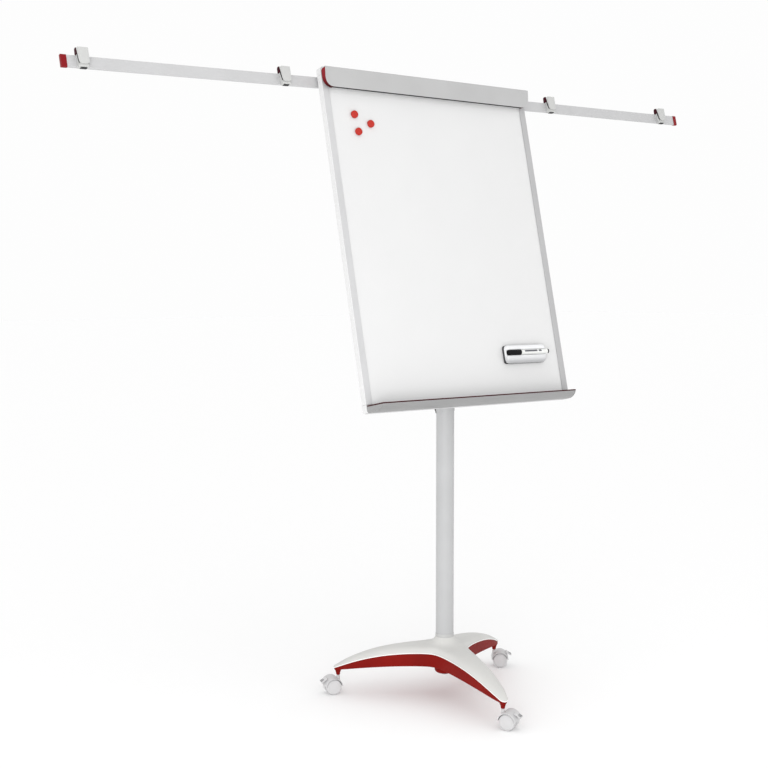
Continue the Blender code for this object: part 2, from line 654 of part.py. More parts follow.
def corner_caps(board):
    """A moulded block in each corner of the frame; the lower two carry the ends of the pen tray."""
    half = BOARD_WIDTH / 2
    for side_x, side_name in ((-1, "left"), (1, "right")):
        for side_z, edge, level in ((-1, BOARD_LOW, "low"), (1, BOARD_TOP, "top")):
            x_out, x_in = side_x * half, side_x * (half - CORNER_SIZE)
            z_in = edge - side_z * CORNER_SIZE
            centre = (x_out - side_x * CORNER_RADIUS, edge - side_z * CORNER_RADIUS)
            bend = [
                (centre[0] + side_x * CORNER_RADIUS * math.cos(a), centre[1] + side_z * CORNER_RADIUS * math.sin(a))
                for a in [math.radians(90 * i / 5) for i in range(6)]
            ]
            block = prism([(x_in, z_in), (x_out, z_in)] + bend + [(x_in, edge)], 0, RAIL_DEPTH, "Y")
            cap = node(f"corner_{level}_{side_name}", [block], WHITE_PLASTIC, board, bevel=0.0007)
            if side_z < 0:
                boolean(cap, "UNION", f"tray_end_{side_name}", [tray_end(side_x)])


def tilt_bracket(board):
    """Plate riveted to the back of the board, with two cheeks that straddle the tilt head."""
    plate_front = PANEL_FRONT + PANEL_THICKNESS + CORE_THICKNESS + 2 * GAP
    plate_back = plate_front + 0.003
    low, high = PIVOT_ABOVE_TRAY - 0.085, PIVOT_ABOVE_TRAY + 0.085
    plate = prism(rounded_rectangle((-0.070, low), (0.070, high), 0.012), plate_front, plate_back, "Y")
    bracket = node("tilt_bracket", [plate], WHITE_COAT, board)
    cheeks = []
    for side in (-1, 1):
        nose = arc((PIVOT_BEHIND_FACE, PIVOT_ABOVE_TRAY), 0.014, -80, 80, 8)
        root = [(plate_front + 0.0015, PIVOT_ABOVE_TRAY + 0.045), (plate_front + 0.0015, PIVOT_ABOVE_TRAY - 0.028)]
        ends = sorted((side * 0.0105, side * 0.0145))
        cheeks.append(prism(nose + root, *ends, "X"))
    boolean(bracket, "UNION", "bracket_cheeks", cheeks)
    pivot = (0, PIVOT_BEHIND_FACE, PIVOT_ABOVE_TRAY)
    boolean(bracket, "DIFFERENCE", "bracket_bore", [cylinder(0.0046, -0.03, 0.03, 12, pivot, "X")])
    rivets = []
    for x in (-0.055, 0.055):
        for z in (low + 0.018, high - 0.018):
            head = [(0, -0.001), (0.0045, -0.001), (0.0045, 0.0005), (0.0030, 0.0022), (0, 0.0022)]
            rivets.append(turned(head, 12, (x, plate_back, z), "Y"))
    boolean(bracket, "UNION", "bracket_rivets", rivets)


def arm_top(side, x):
    arm = ARMS[side]
    return arm["top"] + x * math.tan(math.radians(arm["rise"]))


def arm_guides(board):
    """Channel across the back of the board, with four welded loops that the arms slide through."""
    front = PANEL_FRONT + PANEL_THICKNESS + CORE_THICKNESS + 2 * GAP
    web_front, web_back = RAIL_DEPTH - 0.0015, RAIL_DEPTH + 0.0012
    low, high = 0.838, BOARD_TOP - RAIL_BACK_LIP - 2 * GAP
    section = [
        (front, low), (web_back, low), (web_back, high), (front, high), (front, high - 0.0015),
        (web_front, high - 0.0015), (web_front, low + 0.0015), (front, low + 0.0015),
    ]
    reach = BOARD_WIDTH / 2 - CORNER_SIZE - 0.001
    channel = node("arm_channel", [prism(section, -reach, reach, "X")], WHITE_COAT, board)
    loop_front = RAIL_DEPTH + GAP
    strap = box((-0.315, loop_front, 0.858), (0.315, loop_front + 0.0018, 0.878))
    slot_front = ARMS["left"]["front"] - 0.0010
    slot_back = ARMS["right"]["front"] + ARM_THICKNESS + 0.0010
    loops = []
    for x, sides in ((-0.305, ["left"]), (-0.150, ["left", "right"]), (0.150, ["left", "right"]), (0.305, ["right"])):
        slot_low = min(arm_top(side, x) for side in sides) - ARM_HEIGHT - 0.0014
        slot_high = max(arm_top(side, x) for side in sides) + 0.0014
        slot = [(slot_front, slot_low), (slot_back, slot_low), (slot_back, slot_high), (slot_front, slot_high)]
        outer = [
            (loop_front, slot_low - 0.004), (slot_back + 0.003, slot_low - 0.004),
            (slot_back + 0.003, slot_high + 0.0035), (loop_front, slot_high + 0.0035),
        ]
        loops.append(ring(slot, outer, x - 0.010, x + 0.010, "X"))
    boolean(channel, "UNION", "guide_strap", [strap])
    boolean(channel, "UNION", "guide_loops", loops)


# ---------------------------------------------------------------- pad clamp, hooks and pen tray
def clamp_front(z):
    """Distance of the bar's front surface in front of the frame, at a height on the board."""
    down = (CLAMP_TOP - z) / (CLAMP_TOP - CLAMP_LOW)
    return CLAMP_FRONT - CLAMP_LEAN * down - CLAMP_CURL * down ** 2


def clamp_corner():
    """Centre of the bar's lower right corner as (x, z)."""
    return BOARD_WIDTH / 2 - CLAMP_CORNER_RADIUS, CLAMP_LOW + CLAMP_CORNER_RADIUS


def clamp_section(low):
    """Section of the bar as (y, z): a bowed front wall from low to the top, with a flange back to the hinge."""
    levels = [low + (CLAMP_TOP - CLAMP_WALL - low) * i / 4 for i in range(5)]
    outside = [(-clamp_front(z), z) for z in levels] + [(-clamp_front(CLAMP_TOP) + 0.001, CLAMP_TOP)]
    flange = [(-CLAMP_FLANGE_REAR, CLAMP_TOP), (-CLAMP_FLANGE_REAR, CLAMP_TOP - CLAMP_WALL)]
    inside = [(-clamp_front(z) + CLAMP_WALL, z) for z in reversed(levels)]
    return outside + flange + inside


def clamp_cheek(side):
    """Curved strip that closes the bar's end: down its side and round its lower corner, as deep as the bar."""
    half = BOARD_WIDTH / 2
    levels = (CLAMP_TOP, CLAMP_TOP - CLAMP_REAR_CUT, (CLAMP_TOP - CLAMP_REAR_CUT + clamp_corner()[1]) / 2)
    outer = [(half, z) for z in levels] + arc(clamp_corner(), CLAMP_CORNER_RADIUS, 0, -90, 6)
    inner_bend = arc(clamp_corner(), CLAMP_CORNER_RADIUS - CLAMP_CHEEK, 0, -90, 6)
    inner = [(half - CLAMP_CHEEK, z) for z in levels] + inner_bend
    loops = []
    for (x_out, z_out), (x_in, z_in) in zip(outer, inner):
        rear = CLAMP_REAR + max(0.0, z_out - (CLAMP_TOP - CLAMP_REAR_CUT))
        loops.append([
            (side * x_out, -rear, z_out), (side * x_out, -clamp_front(z_out), z_out),
            (side * x_in, -clamp_front(z_in), z_in), (side * x_in, -rear, z_in),
        ])
    return loft(loops)


def clamp_bar(board):
    """Bowed bar with rounded lower corners between two end strips, hinged along its top."""
    pivot = empty("clamp_pivot", (0, -CLAMP_PIVOT_FRONT, CLAMP_PIVOT_Z), parent=board)
    to_pivot = Matrix.Translation((0, CLAMP_PIVOT_FRONT, -CLAMP_PIVOT_Z))
    step_x = clamp_corner()[0] - GAP
    bend = arc(clamp_corner(), CLAMP_CORNER_RADIUS - CLAMP_CHEEK - GAP, 0, -90, 6) + [(step_x, CLAMP_LOW)]
    stations = bend + [(-x, z) for x, z in reversed(bend)]
    skin = loft([[(x, y, z) for y, z in clamp_section(low)] for x, low in stations])
    bar = node("clamp_profile", [moved(skin, to_pivot)], ALUMINIUM, pivot)
    for side, side_name in ((-1, "left"), (1, "right")):
        node(f"clamp_end_{side_name}", [moved(clamp_cheek(side), to_pivot)], RED_PLASTIC, pivot)
    grip_top = CLAMP_LOW + GRIP_HEIGHT
    section = [
        (-0.0008, CLAMP_LOW), (-clamp_front(CLAMP_LOW) + CLAMP_WALL + GAP, CLAMP_LOW),
        (-clamp_front(grip_top) + CLAMP_WALL + GAP, grip_top), (-0.0008, grip_top),
    ]
    grip = prism(section, -step_x + GAP, step_x - GAP, "X")
    node("clamp_grip_strip", [moved(grip, to_pivot)], DARK_RUBBER, pivot)
    clamp_ears(bar, to_pivot)


def clamp_ears(bar, to_pivot):
    """Two ears and a pin at each hinge lug, and a notch in the flange that the lug swings through."""
    ears = []
    pins = []
    notches = []
    ear_low, ear_top = CLAMP_PIVOT_Z - 0.004, CLAMP_TOP - CLAMP_WALL / 2
    ear_front, ear_rear = -CLAMP_FRONT + 0.0018, -0.0090
    notch_half = CLAMP_LUG_HALF + GAP
    for x in (-CLAMP_LUG_X, CLAMP_LUG_X):
        pins.append(cylinder(0.0018, x - 0.0064, x + 0.0064, 12, axis="X"))
        notch_low, notch_top = CLAMP_TOP - CLAMP_WALL - 0.001, CLAMP_TOP + 0.001
        notch = box((x - notch_half, -0.0165, notch_low), (x + notch_half, -0.0040, notch_top))
        notches.append(moved(notch, to_pivot))
        for side in (-1, 1):
            ends_x = sorted((x + side * 0.0055, x + side * 0.0075))
            ear = box((ends_x[0], ear_front, ear_low), (ends_x[1], ear_rear, ear_top))
            ears.append(moved(ear, to_pivot))
    boolean(bar, "UNION", "clamp_ears", ears)
    boolean(bar, "UNION", "clamp_pins", pins)
    boolean(bar, "DIFFERENCE", "clamp_notches", notches)


def clamp_hinge_rail(board):
    """Strip on the top rail with two lugs, bored for the clamp bar's pins."""
    low, high = CLAMP_PIVOT_Z - 0.0035, CLAMP_PIVOT_Z + 0.0040
    strip = box((-CLAMP_LUG_X - 0.005, -0.0013, low), (CLAMP_LUG_X + 0.005, -GAP, high))
    rail = node("clamp_hinge_rail", [strip], BRIGHT_STEEL, board)
    lugs = []
    bores = []
    for x in (-CLAMP_LUG_X, CLAMP_LUG_X):
        lugs.append(box((x - CLAMP_LUG_HALF, -0.0155, low), (x + CLAMP_LUG_HALF, -0.0008, high)))
        bores.append(cylinder(0.0023, x - 0.006, x + 0.006, 12, (0, -CLAMP_PIVOT_FRONT, CLAMP_PIVOT_Z), "X"))
    boolean(rail, "UNION", "hinge_lugs", lugs)
    boolean(rail, "DIFFERENCE", "hinge_bores", bores)


def pad_hooks(board):
    rail_z = 0.8715
    rail = box((-0.280, -0.0010, rail_z - 0.005), (0.280, PANEL_FRONT - GAP, rail_z + 0.005))
    node("hook_rail", [rail], BRIGHT_STEEL, board, bevel=0.0004)
    for name, x in (("pad_hook_left", -0.139), ("pad_hook_right", 0.139)):
        shoe = box((-0.007, -0.0042, -0.0065), (0.007, -0.0013, 0.0065))
        peg = [(0, 0.0030), (0.0032, 0.0030), (0.0032, 0.0130), (0.0020, 0.0148), (0, 0.0148)]
        hook = node(name, [shoe], BLACK_PLASTIC, board, location=(x, 0, rail_z))
        boolean(hook, "UNION", f"{name}_peg", [moved(turned(peg, 16, axis="Y"), Matrix.Scale(-1, 4, (0, 1, 0)))])


def tray_end_x(depth):
    """Half the tray's length at a distance in front of the board: its ends slant inwards."""
    return TRAY_HALF_LENGTH - TRAY_END_SLANT * depth


def tray_outside():
    """Underside of the tray as (distance in front of the board, height), from the frame out to the lip."""
    return [
        (0.012, -0.0196), (0.028, -0.0170), (0.040, -0.0120), (0.0475, -0.0065), (TRAY_REACH, -TRAY_STRIP - GAP),
    ]


def tray_end(side):
    """End wall of the tray, which reaches into the corner block behind it."""
    root = 0.004
    outline = [(-root, -0.0150), (GAP, -0.0192)] + tray_outside() + [(-root, -TRAY_STRIP - GAP)]
    inner = [(side * (tray_end_x(n) - TRAY_WALL + GAP), -n, z) for n, z in outline]
    outer = [(side * tray_end_x(n), -n, z) for n, z in outline]
    return loft([inner, outer])


def pen_tray(board):
    outside = [(GAP, -0.0200)] + tray_outside()
    inside = [
        (0.0472, -TRAY_STRIP - GAP), (0.0445, -0.0075), (0.0375, -0.0108), (0.026, -0.0146), (0.012, -0.0168),
        (GAP, -0.0172),
    ]
    section = outside + inside
    loops = [[(side * (tray_end_x(n) - TRAY_WALL), -n, z) for n, z in section] for side in (-1, 1)]
    node("pen_tray", [loft(loops)], ALUMINIUM, board)
    lip = TRAY_REACH
    back = 2 * GAP
    outer = [(-tray_end_x(back), -back), (-tray_end_x(lip), -lip), (tray_end_x(lip), -lip), (tray_end_x(back), -back)]
    inner = [
        (x - math.copysign(TRAY_STRIP, x), y + (TRAY_STRIP if y < -back else 0)) for x, y in reversed(outer)
    ]
    node("tray_edge_strip", [prism(outer + inner, -TRAY_STRIP, 0.0, "Z")], RED_PLASTIC, board)


# ---------------------------------------------------------------- side arms
def rounded_section(low, high, radius):
    return rounded_rectangle(low, high, radius, 2)


def side_arm(side, board):
    """A flat tube built in its own frame: u along it, z up from its top edge, y back from its front face."""
    arm = ARMS[side]
    rise = math.radians(arm["rise"])
    lane = empty(f"arm_{side}_lane", (0, arm["front"], arm["top"]), (0, -rise, 0), board)
    outer, inner = arm["outer"], arm["inner"]
    sign = math.copysign(1, outer)
    tube_end = outer - sign * 0.0030
    wall = ARM_WALL
    shell = rounded_section((0, -ARM_HEIGHT), (ARM_THICKNESS, 0), 0.0015)
    hollow = rounded_section((wall, -ARM_HEIGHT + wall), (ARM_THICKNESS - wall, -wall), 0.0006)
    ends = sorted((tube_end, inner))
    node(f"arm_{side}", [ring(hollow, shell, *ends, "X")], ALUMINIUM, lane)
    lip = ARM_CAP_LIP
    cap_shell = rounded_section((-lip, -ARM_HEIGHT - lip), (ARM_THICKNESS + lip, lip), 0.0022)
    over_tube = rounded_section((-GAP, -ARM_HEIGHT - GAP), (ARM_THICKNESS + GAP, GAP), 0.0015)

    def at(outline, x):
        return [(x, y, z) for y, z in outline]

    mouth = outer - sign * ARM_CAP_LENGTH
    seat = tube_end + sign * GAP
    cap = loft([at(over_tube, seat), at(over_tube, mouth), at(cap_shell, mouth), at(cap_shell, outer)])
    node(f"arm_{side}_cap", [cap], RED_PLASTIC, lane)
    return lane


def paper_clip(name, x, lane):
    """Hooks over the arm from the front, with a bowed front plate that holds the sheet; one per place on the arm."""
    body_back = ARM_THICKNESS + 0.0008
    hook = [
        (-0.0004, 0.0006), (-0.0004, -ARM_HEIGHT - 0.0008), (0.0020, -ARM_HEIGHT - 0.0008),
        (0.0020, -ARM_HEIGHT - 0.0030), (-0.0030, -ARM_HEIGHT - 0.0030), (-0.0075, -ARM_HEIGHT - 0.0010),
        (-0.0075, 0.0012), (-0.0030, 0.0032), (body_back + 0.0014, 0.0032), (body_back + 0.0014, -0.0080),
        (body_back - 0.0002, -0.0080), (body_back - 0.0002, 0.0006),
    ]
    half = CLIP_WIDTH / 2
    body = prism(hook, -half, half, "X")
    inset_x = half - 0.0004
    pad_top = CLIP_ABOVE - 0.0008
    pad = box((-inset_x, CLIP_PAD_FRONT - 0.0008, 0.0014), (inset_x, CLIP_PAD_BACK, pad_top))
    plate_back = CLIP_PAD_FRONT - GAP
    bend = arc((half - CLIP_CORNER_RADIUS, CLIP_CORNER_RADIUS - CLIP_BELOW), CLIP_CORNER_RADIUS, 0, -90, 4)
    stations = bend + [(-u, z) for u, z in reversed(bend)]
    loops = []
    for u, low in stations:
        levels = [low + (CLIP_ABOVE - low) * i / 3 for i in range(4)]
        front = [(u, plate_back - CLIP_PLATE, z) for z in levels]
        back = [(u, plate_back, z) for z in reversed(levels)]
        loops.append(front + back)
    plate = loft(loops)
    slide = empty(f"{name}_slide", (x, 0, 0), parent=lane)
    clip = node(name, [body], WHITE_PLASTIC, slide)
    boolean(clip, "UNION", f"{name}_block", [pad])
    boolean(clip, "UNION", f"{name}_plate", [plate])


# ---------------------------------------------------------------- accessories
def magnets(board):
    profile = [
        (0, 0), (MAGNET_RADIUS, 0), (MAGNET_RADIUS, MAGNET_THICKNESS - 0.0015),
        (MAGNET_RADIUS - 0.0015, MAGNET_THICKNESS), (0, MAGNET_THICKNESS),
    ]
    to_front = Matrix.Rotation(math.pi / 2, 4, "X")
    for number, (x, z) in enumerate(MAGNETS, 1):
        disc = moved(turned(profile, 24), to_front)
        node(f"magnet_{number}", [disc], RED_PLASTIC, board, location=(x, PANEL_FRONT - GAP, z))


def eraser(board):
    x, z = ERASER_CENTRE
    place = empty("eraser_place", (x, PANEL_FRONT - GAP, z), parent=board)
    half_x, half_z = ERASER_LENGTH / 2, ERASER_HEIGHT / 2
    felt = rounded_rectangle((-half_x + 0.002, -half_z + 0.002), (half_x - 0.002, half_z - 0.002), 0.010)
    node("eraser_felt", [prism(felt, -FELT_THICKNESS, 0, "Y")], GREY_FELT, place)
    block = rounded_rectangle((-half_x, -half_z), (half_x, half_z), 0.012)
    back = -FELT_THICKNESS - GAP
    front = back - ERASER_THICKNESS
    body = node("eraser_body", [prism(block, front, back, "Y")], WHITE_PLASTIC, place, bevel=0.003)
    middle_x, middle_z = MARKER_OFFSET
    groove_start = middle_x - MARKER_LENGTH / 2 - 0.001
    beyond_end = half_x + 0.010
    groove = cylinder(MARKER_RADIUS + 0.0006, groove_start, beyond_end, 20, (0, front, middle_z), "X")
    boolean(body, "DIFFERENCE", "marker_groove", [groove])
    marker(empty("marker_slot", (middle_x, front, middle_z), parent=place))


def marker(slot):
    half = MARKER_LENGTH / 2
    split = -half + MARKER_CAP_LENGTH
    barrel = [
        (0, split + GAP), (MARKER_RADIUS - 0.0006, split + GAP), (MARKER_RADIUS - 0.0006, half - 0.004),
        (MARKER_RADIUS - 0.0016, half), (0, half),
    ]
    node("marker_barrel", [turned(barrel, 20, axis="X")], WHITE_PLASTIC, slot)
    cap = [
        (0, -half), (MARKER_RADIUS - 0.0012, -half), (MARKER_RADIUS, -half + 0.002), (MARKER_RADIUS, split),
        (0, split),
    ]
    node("marker_cap", [turned(cap, 20, axis="X")], BLACK_PLASTIC, slot)


# ---------------------------------------------------------------- assembly
def build():
    clear_scene()
    post = empty("post_axis", (0, POST_Y, 0))
    base_cover(post)
    base_frame(post)
    post_parts(post)
    post_collar(post)
    height_lever(post)
    for leg in LEG_ANGLES:
        caster(leg, post)
    inner_post(post)
    pivot = empty("tilt_pivot", (0, 0, PIVOT_Z), (math.radians(-BOARD_TILT), 0, 0), post)
    tilt_knob(pivot)
    board = empty("board_place", (0, -PIVOT_BEHIND_FACE, -PIVOT_ABOVE_TRAY), parent=pivot)
    panels(board)
    frame_rails(board)
    corner_caps(board)
    tilt_bracket(board)
    arm_guides(board)
    clamp_bar(board)
    clamp_hinge_rail(board)
    pad_hooks(board)
    pen_tray(board)
    lanes = {side: side_arm(side, board) for side in ARMS}
    for name, x in CLIPS.items():
        paper_clip(f"clip_{name}", x, lanes[name.split("_")[0]])
    magnets(board)
    eraser(board)


build()
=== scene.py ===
"""Looks of a mobile flipchart easel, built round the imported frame. Units are metres, +Z is up, the board faces -Y."""

import json
import math

import bmesh
import bpy
from mathutils import Matrix, Vector


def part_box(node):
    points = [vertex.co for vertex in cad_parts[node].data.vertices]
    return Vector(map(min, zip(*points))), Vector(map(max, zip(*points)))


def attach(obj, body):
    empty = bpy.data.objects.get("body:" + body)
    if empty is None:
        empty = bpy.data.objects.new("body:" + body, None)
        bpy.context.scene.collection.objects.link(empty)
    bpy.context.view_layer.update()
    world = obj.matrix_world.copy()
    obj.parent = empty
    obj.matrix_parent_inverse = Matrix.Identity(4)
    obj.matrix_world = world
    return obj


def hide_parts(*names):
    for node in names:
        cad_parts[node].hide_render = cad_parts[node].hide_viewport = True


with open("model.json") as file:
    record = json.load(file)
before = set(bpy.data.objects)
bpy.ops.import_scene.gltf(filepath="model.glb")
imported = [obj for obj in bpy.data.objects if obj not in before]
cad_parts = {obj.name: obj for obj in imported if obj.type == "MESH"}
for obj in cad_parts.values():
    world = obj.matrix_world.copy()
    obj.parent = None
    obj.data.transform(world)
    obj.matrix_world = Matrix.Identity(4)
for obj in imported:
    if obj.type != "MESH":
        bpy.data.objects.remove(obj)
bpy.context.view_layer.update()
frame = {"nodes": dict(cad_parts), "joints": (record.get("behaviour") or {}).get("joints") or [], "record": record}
joints = {joint["name"]: joint for joint in frame["joints"]}
mounts = {mount["name"]: mount for mount in frame["record"]["mounts"]}
SLOT_OF = {row["node"]: row["material_slot"] for row in frame["record"]["subparts"]}
BODY_OF = {node: body for body, nodes in frame["record"]["behaviour"]["bodies"].items() for node in nodes}

# ---------------------------------------------------------------- camera, where the photo was taken from
CAMERA_PLACE = (-2.0964, -2.5922, 1.1499)
YAW, PITCH, ROLL = 35.39, 4.53, -0.08  # degrees: right of +Y, down, and about the line of sight
LENS = 57.07  # millimetres
SENSOR_WIDTH = 36.0
FAR_CLIP = 100.0


def make_camera():
    """Camera in the photo's place."""
    data = bpy.data.cameras.new("camera")
    data.sensor_width = SENSOR_WIDTH
    data.lens = LENS
    data.clip_end = FAR_CLIP
    camera = bpy.data.objects.new("camera", data)
    bpy.context.scene.collection.objects.link(camera)
    camera.location = CAMERA_PLACE
    turn = Matrix.Rotation(math.radians(-YAW), 4, "Z") @ Matrix.Rotation(math.radians(90 - PITCH), 4, "X")
    camera.rotation_euler = (turn @ Matrix.Rotation(math.radians(ROLL), 4, "Z")).to_euler()
    bpy.context.scene.camera = camera


make_camera()


# ---------------------------------------------------------------- materials
BROAD_SCALE = 9.0  # of the colour mottle, in noise cells per metre
STREAK_SHARE = 0.07  # scale of the uneven gloss, as a share of the grain's
COAT_ROUGHNESS = 0.08


def new_material(name):
    made = bpy.data.materials.new(name)
    made.use_nodes = True
    nodes = made.node_tree.nodes
    return made, nodes, made.node_tree.links, nodes["Principled BSDF"]


def noise(nodes, links, where, scale, detail=2.0):
    """Socket with noise at a place."""
    made = nodes.new("ShaderNodeTexNoise")
    made.inputs["Scale"].default_value = scale
    made.inputs["Detail"].default_value = detail
    links.new(where, made.inputs["Vector"])
    return made.outputs["Fac"]


def spread(nodes, links, source, low, high, from_low=0.3, from_high=0.7):
    """Socket with a value mapped from one range to another, clamped at its ends."""
    made = nodes.new("ShaderNodeMapRange")
    made.inputs["From Min"].default_value = from_low
    made.inputs["From Max"].default_value = from_high
    made.inputs["To Min"].default_value = low
    made.inputs["To Max"].default_value = high
    links.new(source, made.inputs["Value"])
    return made.outputs["Result"]


def look(name, colour, roughness, metallic=0.0, grain=900.0, depth=0.00004, mottle=0.03, stretch=(1, 1, 1),
         coat=0.0, spread_rough=0.05, specular=0.5):
    """Coated metal or moulded plastic: fine surface grain, faint colour mottle and uneven gloss.

    grain is the scale of the surface grain, depth its height, and stretch draws it out along an axis.
    """
    made, nodes, links, shader = new_material(name)
    place = nodes.new("ShaderNodeTexCoord").outputs["Object"]
    scaled = nodes.new("ShaderNodeMapping")
    scaled.inputs["Scale"].default_value = stretch
    links.new(place, scaled.inputs["Vector"])
    fine = noise(nodes, links, scaled.outputs["Vector"], grain, 3.0)
    broad = noise(nodes, links, place, BROAD_SCALE, 3.0)
    mix = nodes.new("ShaderNodeMix")
    mix.data_type = "RGBA"
    mix.inputs["A"].default_value = (*[c * (1 - mottle) for c in colour], 1)
    mix.inputs["B"].default_value = (*[min(1.0, c * (1 + mottle)) for c in colour], 1)
    links.new(spread(nodes, links, broad, 0.0, 1.0), mix.inputs["Factor"])
    links.new(mix.outputs["Result"], shader.inputs["Base Color"])
    streaks = noise(nodes, links, scaled.outputs["Vector"], grain * STREAK_SHARE)
    links.new(spread(nodes, links, streaks, roughness - spread_rough, roughness + spread_rough),
              shader.inputs["Roughness"])
    shader.inputs["Metallic"].default_value = metallic
    shader.inputs["Specular IOR Level"].default_value = specular
    if coat:
        shader.inputs["Coat Weight"].default_value = coat
        shader.inputs["Coat Roughness"].default_value = COAT_ROUGHNESS
    bump = nodes.new("ShaderNodeBump")
    bump.inputs["Distance"].default_value = depth
    links.new(fine, bump.inputs["Height"])
    links.new(bump.outputs["Normal"], shader.inputs["Normal"])
    return made


COVER_WHITE = look("cover_plastic", (0.62, 0.615, 0.595), 0.42, grain=1400, depth=0.00003, specular=0.35)
# painted highlight: the cover's rim gets a whiter look than the cover, for the bright line along its edge
RIM_PAINTED_HIGHLIGHT = look("rim_painted_highlight", (0.93, 0.93, 0.91), 0.40, grain=1400, depth=0.00002, mottle=0.01)
WHITE_PLASTIC = look("white_moulded_plastic", (0.80, 0.81, 0.79), 0.34, grain=1400, depth=0.00002)
SKIRT_GREY = look("skirt_plastic", (0.50, 0.50, 0.495), 0.42, grain=1400, depth=0.00002, specular=0.35)
CLIP_WHITE = look("clip_plastic", (0.54, 0.545, 0.535), 0.36, grain=1400, depth=0.00002, specular=0.4)
CASTOR_WHITE = look("castor_plastic", (0.60, 0.595, 0.60), 0.34, grain=1400, depth=0.00002, specular=0.4)
# painted shade: a dark look for the inside of the castor hoods, round the wheels
HOOD_INSIDE_PAINTED_SHADE = look("hood_inside_painted_shade", (0.10, 0.10, 0.105), 0.6, grain=1400, depth=0.00002, specular=0.2)
WHEEL_GREY = look("castor_wheel", (0.60, 0.595, 0.60), 0.40, grain=1800, depth=0.00002, specular=0.4)
POST_COAT = look("post_powder_coat", (0.475, 0.478, 0.482), 0.45, grain=2200, depth=0.00003, specular=0.35)
FRAME_COAT = look("frame_coat", (0.57, 0.57, 0.575), 0.40, 0.1, grain=900, stretch=(1, 1, 0.02), depth=0.00001)
RAIL_COAT = look("rail_coat", (0.57, 0.57, 0.575), 0.40, 0.1, grain=900, stretch=(0.02, 1, 1), depth=0.00001)
# painted shade: a darker copy of the frame's coat for the right rail, for the light falling off to the right
RIGHT_RAIL_PAINTED_SHADE = look("right_rail_painted_shade", (0.45, 0.45, 0.455), 0.40, 0.1, grain=900, stretch=(1, 1, 0.02), depth=0.00001)
# painted light: a paler copy of the frame's coat for faces that look left, towards the lamp
LEFT_FACE_PAINTED_LIGHT = look("left_face_painted_light", (0.72, 0.72, 0.72), 0.40, grain=1400, depth=0.00001, mottle=0.01)
ARM_COAT = look("arm_coat", (0.53, 0.53, 0.535), 0.42, 0.1, grain=900, stretch=(0.02, 1, 1), depth=0.00001)
CLAMP_COAT = look("clamp_coat", (0.465, 0.465, 0.465), 0.46, 0.1, grain=900, stretch=(0.02, 1, 1), depth=0.00001)
# painted shade: the tray gets a darker copy of the coat, for its downward-facing front lit by little floor light
TRAY_COAT_PAINTED_SHADE = look("tray_coat_painted_shade", (0.305, 0.305, 0.305), 0.46, 0.15, grain=900, stretch=(0.02, 1, 1), depth=0.00001)
RED_COAT = look("red_powder_coat", (0.215, 0.0055, 0.003), 0.50, grain=2000, mottle=0.12, specular=0.10)
RED_PLASTIC = look("red_plastic", (0.23, 0.007, 0.011), 0.45, grain=1500, depth=0.00002, mottle=0.05, specular=0.15)
# the tray liner's own red, darkened as painted shade for the tray's shadowed inside
RED_LINER_PAINTED_SHADE = look("red_liner_painted_shade", (0.052, 0.006, 0.008), 0.5, grain=1500, depth=0.00002, mottle=0.1, specular=0.15)
MAROON_RUBBER = look("maroon_pad", (0.040, 0.002, 0.007), 0.6, grain=1500, depth=0.00005, mottle=0.1, specular=0.12)
MAGNET_RED = look("magnet_red", (0.47, 0.022, 0.012), 0.40, grain=1500, depth=0.00002, mottle=0.04, specular=0.3)
DARK_RUBBER = look("dark_rubber", (0.020, 0.020, 0.022), 0.72, grain=1100, depth=0.0001, mottle=0.15)
BLACK_PLASTIC = look("black_plastic", (0.006, 0.006, 0.008), 0.42, grain=1500, depth=0.00003, mottle=0.1,
                     specular=0.12)
STEEL = look("zinc_plated_steel", (0.58, 0.58, 0.60), 0.30, 1.0, grain=700, stretch=(1, 1, 0.06), depth=0.00001,
             mottle=0.06)
ENAMEL = look("white_enamel", (0.715, 0.715, 0.715), 0.16, grain=45, depth=0.00002, mottle=0.006, coat=0.15,
              spread_rough=0.015, specular=0.4)
CORE = look("fibre_board", (0.42, 0.42, 0.43), 0.7, grain=500, depth=0.0002, mottle=0.07)
FELT = look("grey_felt", (0.055, 0.055, 0.06), 0.92, grain=1600, depth=0.0006, mottle=0.2)
PRINT_GREY = look("marker_band", (0.10, 0.10, 0.12), 0.5, grain=1500, depth=0.00001, mottle=0.1)


def paint_shade_downwards(made, low, high, dark):
    """Paints shade into a look: darkens it smoothly from a high level to a low one, as painted shade on the
    turned-under part of a moulding.
    """
    nodes, links = made.node_tree.nodes, made.node_tree.links
    shader = nodes["Principled BSDF"]
    split = nodes.new("ShaderNodeSeparateXYZ")
    links.new(nodes.new("ShaderNodeTexCoord").outputs["Object"], split.inputs[0])
    level = spread(nodes, links, split.outputs["Z"], dark, 1.0, low, high)
    tone = nodes.new("ShaderNodeMix")
    tone.data_type = "RGBA"
    tone.blend_type = "MULTIPLY"
    tone.inputs["Factor"].default_value = 1.0
    before = shader.inputs["Base Color"].links[0].from_socket
    links.new(before, tone.inputs["A"])
    links.new(level, tone.inputs["B"])
    links.new(tone.outputs["Result"], shader.inputs["Base Color"])
    return made


# painted shade: the clamp cheeks' red is darkened towards their lower, downward-facing ends
CHEEK_RED_PAINTED_SHADE = paint_shade_downwards(
    look("cheek_red_painted_shade", (0.24, 0.006, 0.012), 0.45, grain=1500, depth=0.00002, mottle=0.05, specular=0.12),
    low=1.676, high=1.700, dark=0.22)
# painted shade: the eraser grip's white is darkened towards its lower, turned-under edge
ERASER_WHITE_PAINTED_SHADE = paint_shade_downwards(
    look("eraser_white_painted_shade", (0.82, 0.825, 0.84), 0.34, grain=1400, depth=0.00002, mottle=0.01),
    low=0.946, high=0.963, dark=0.66)

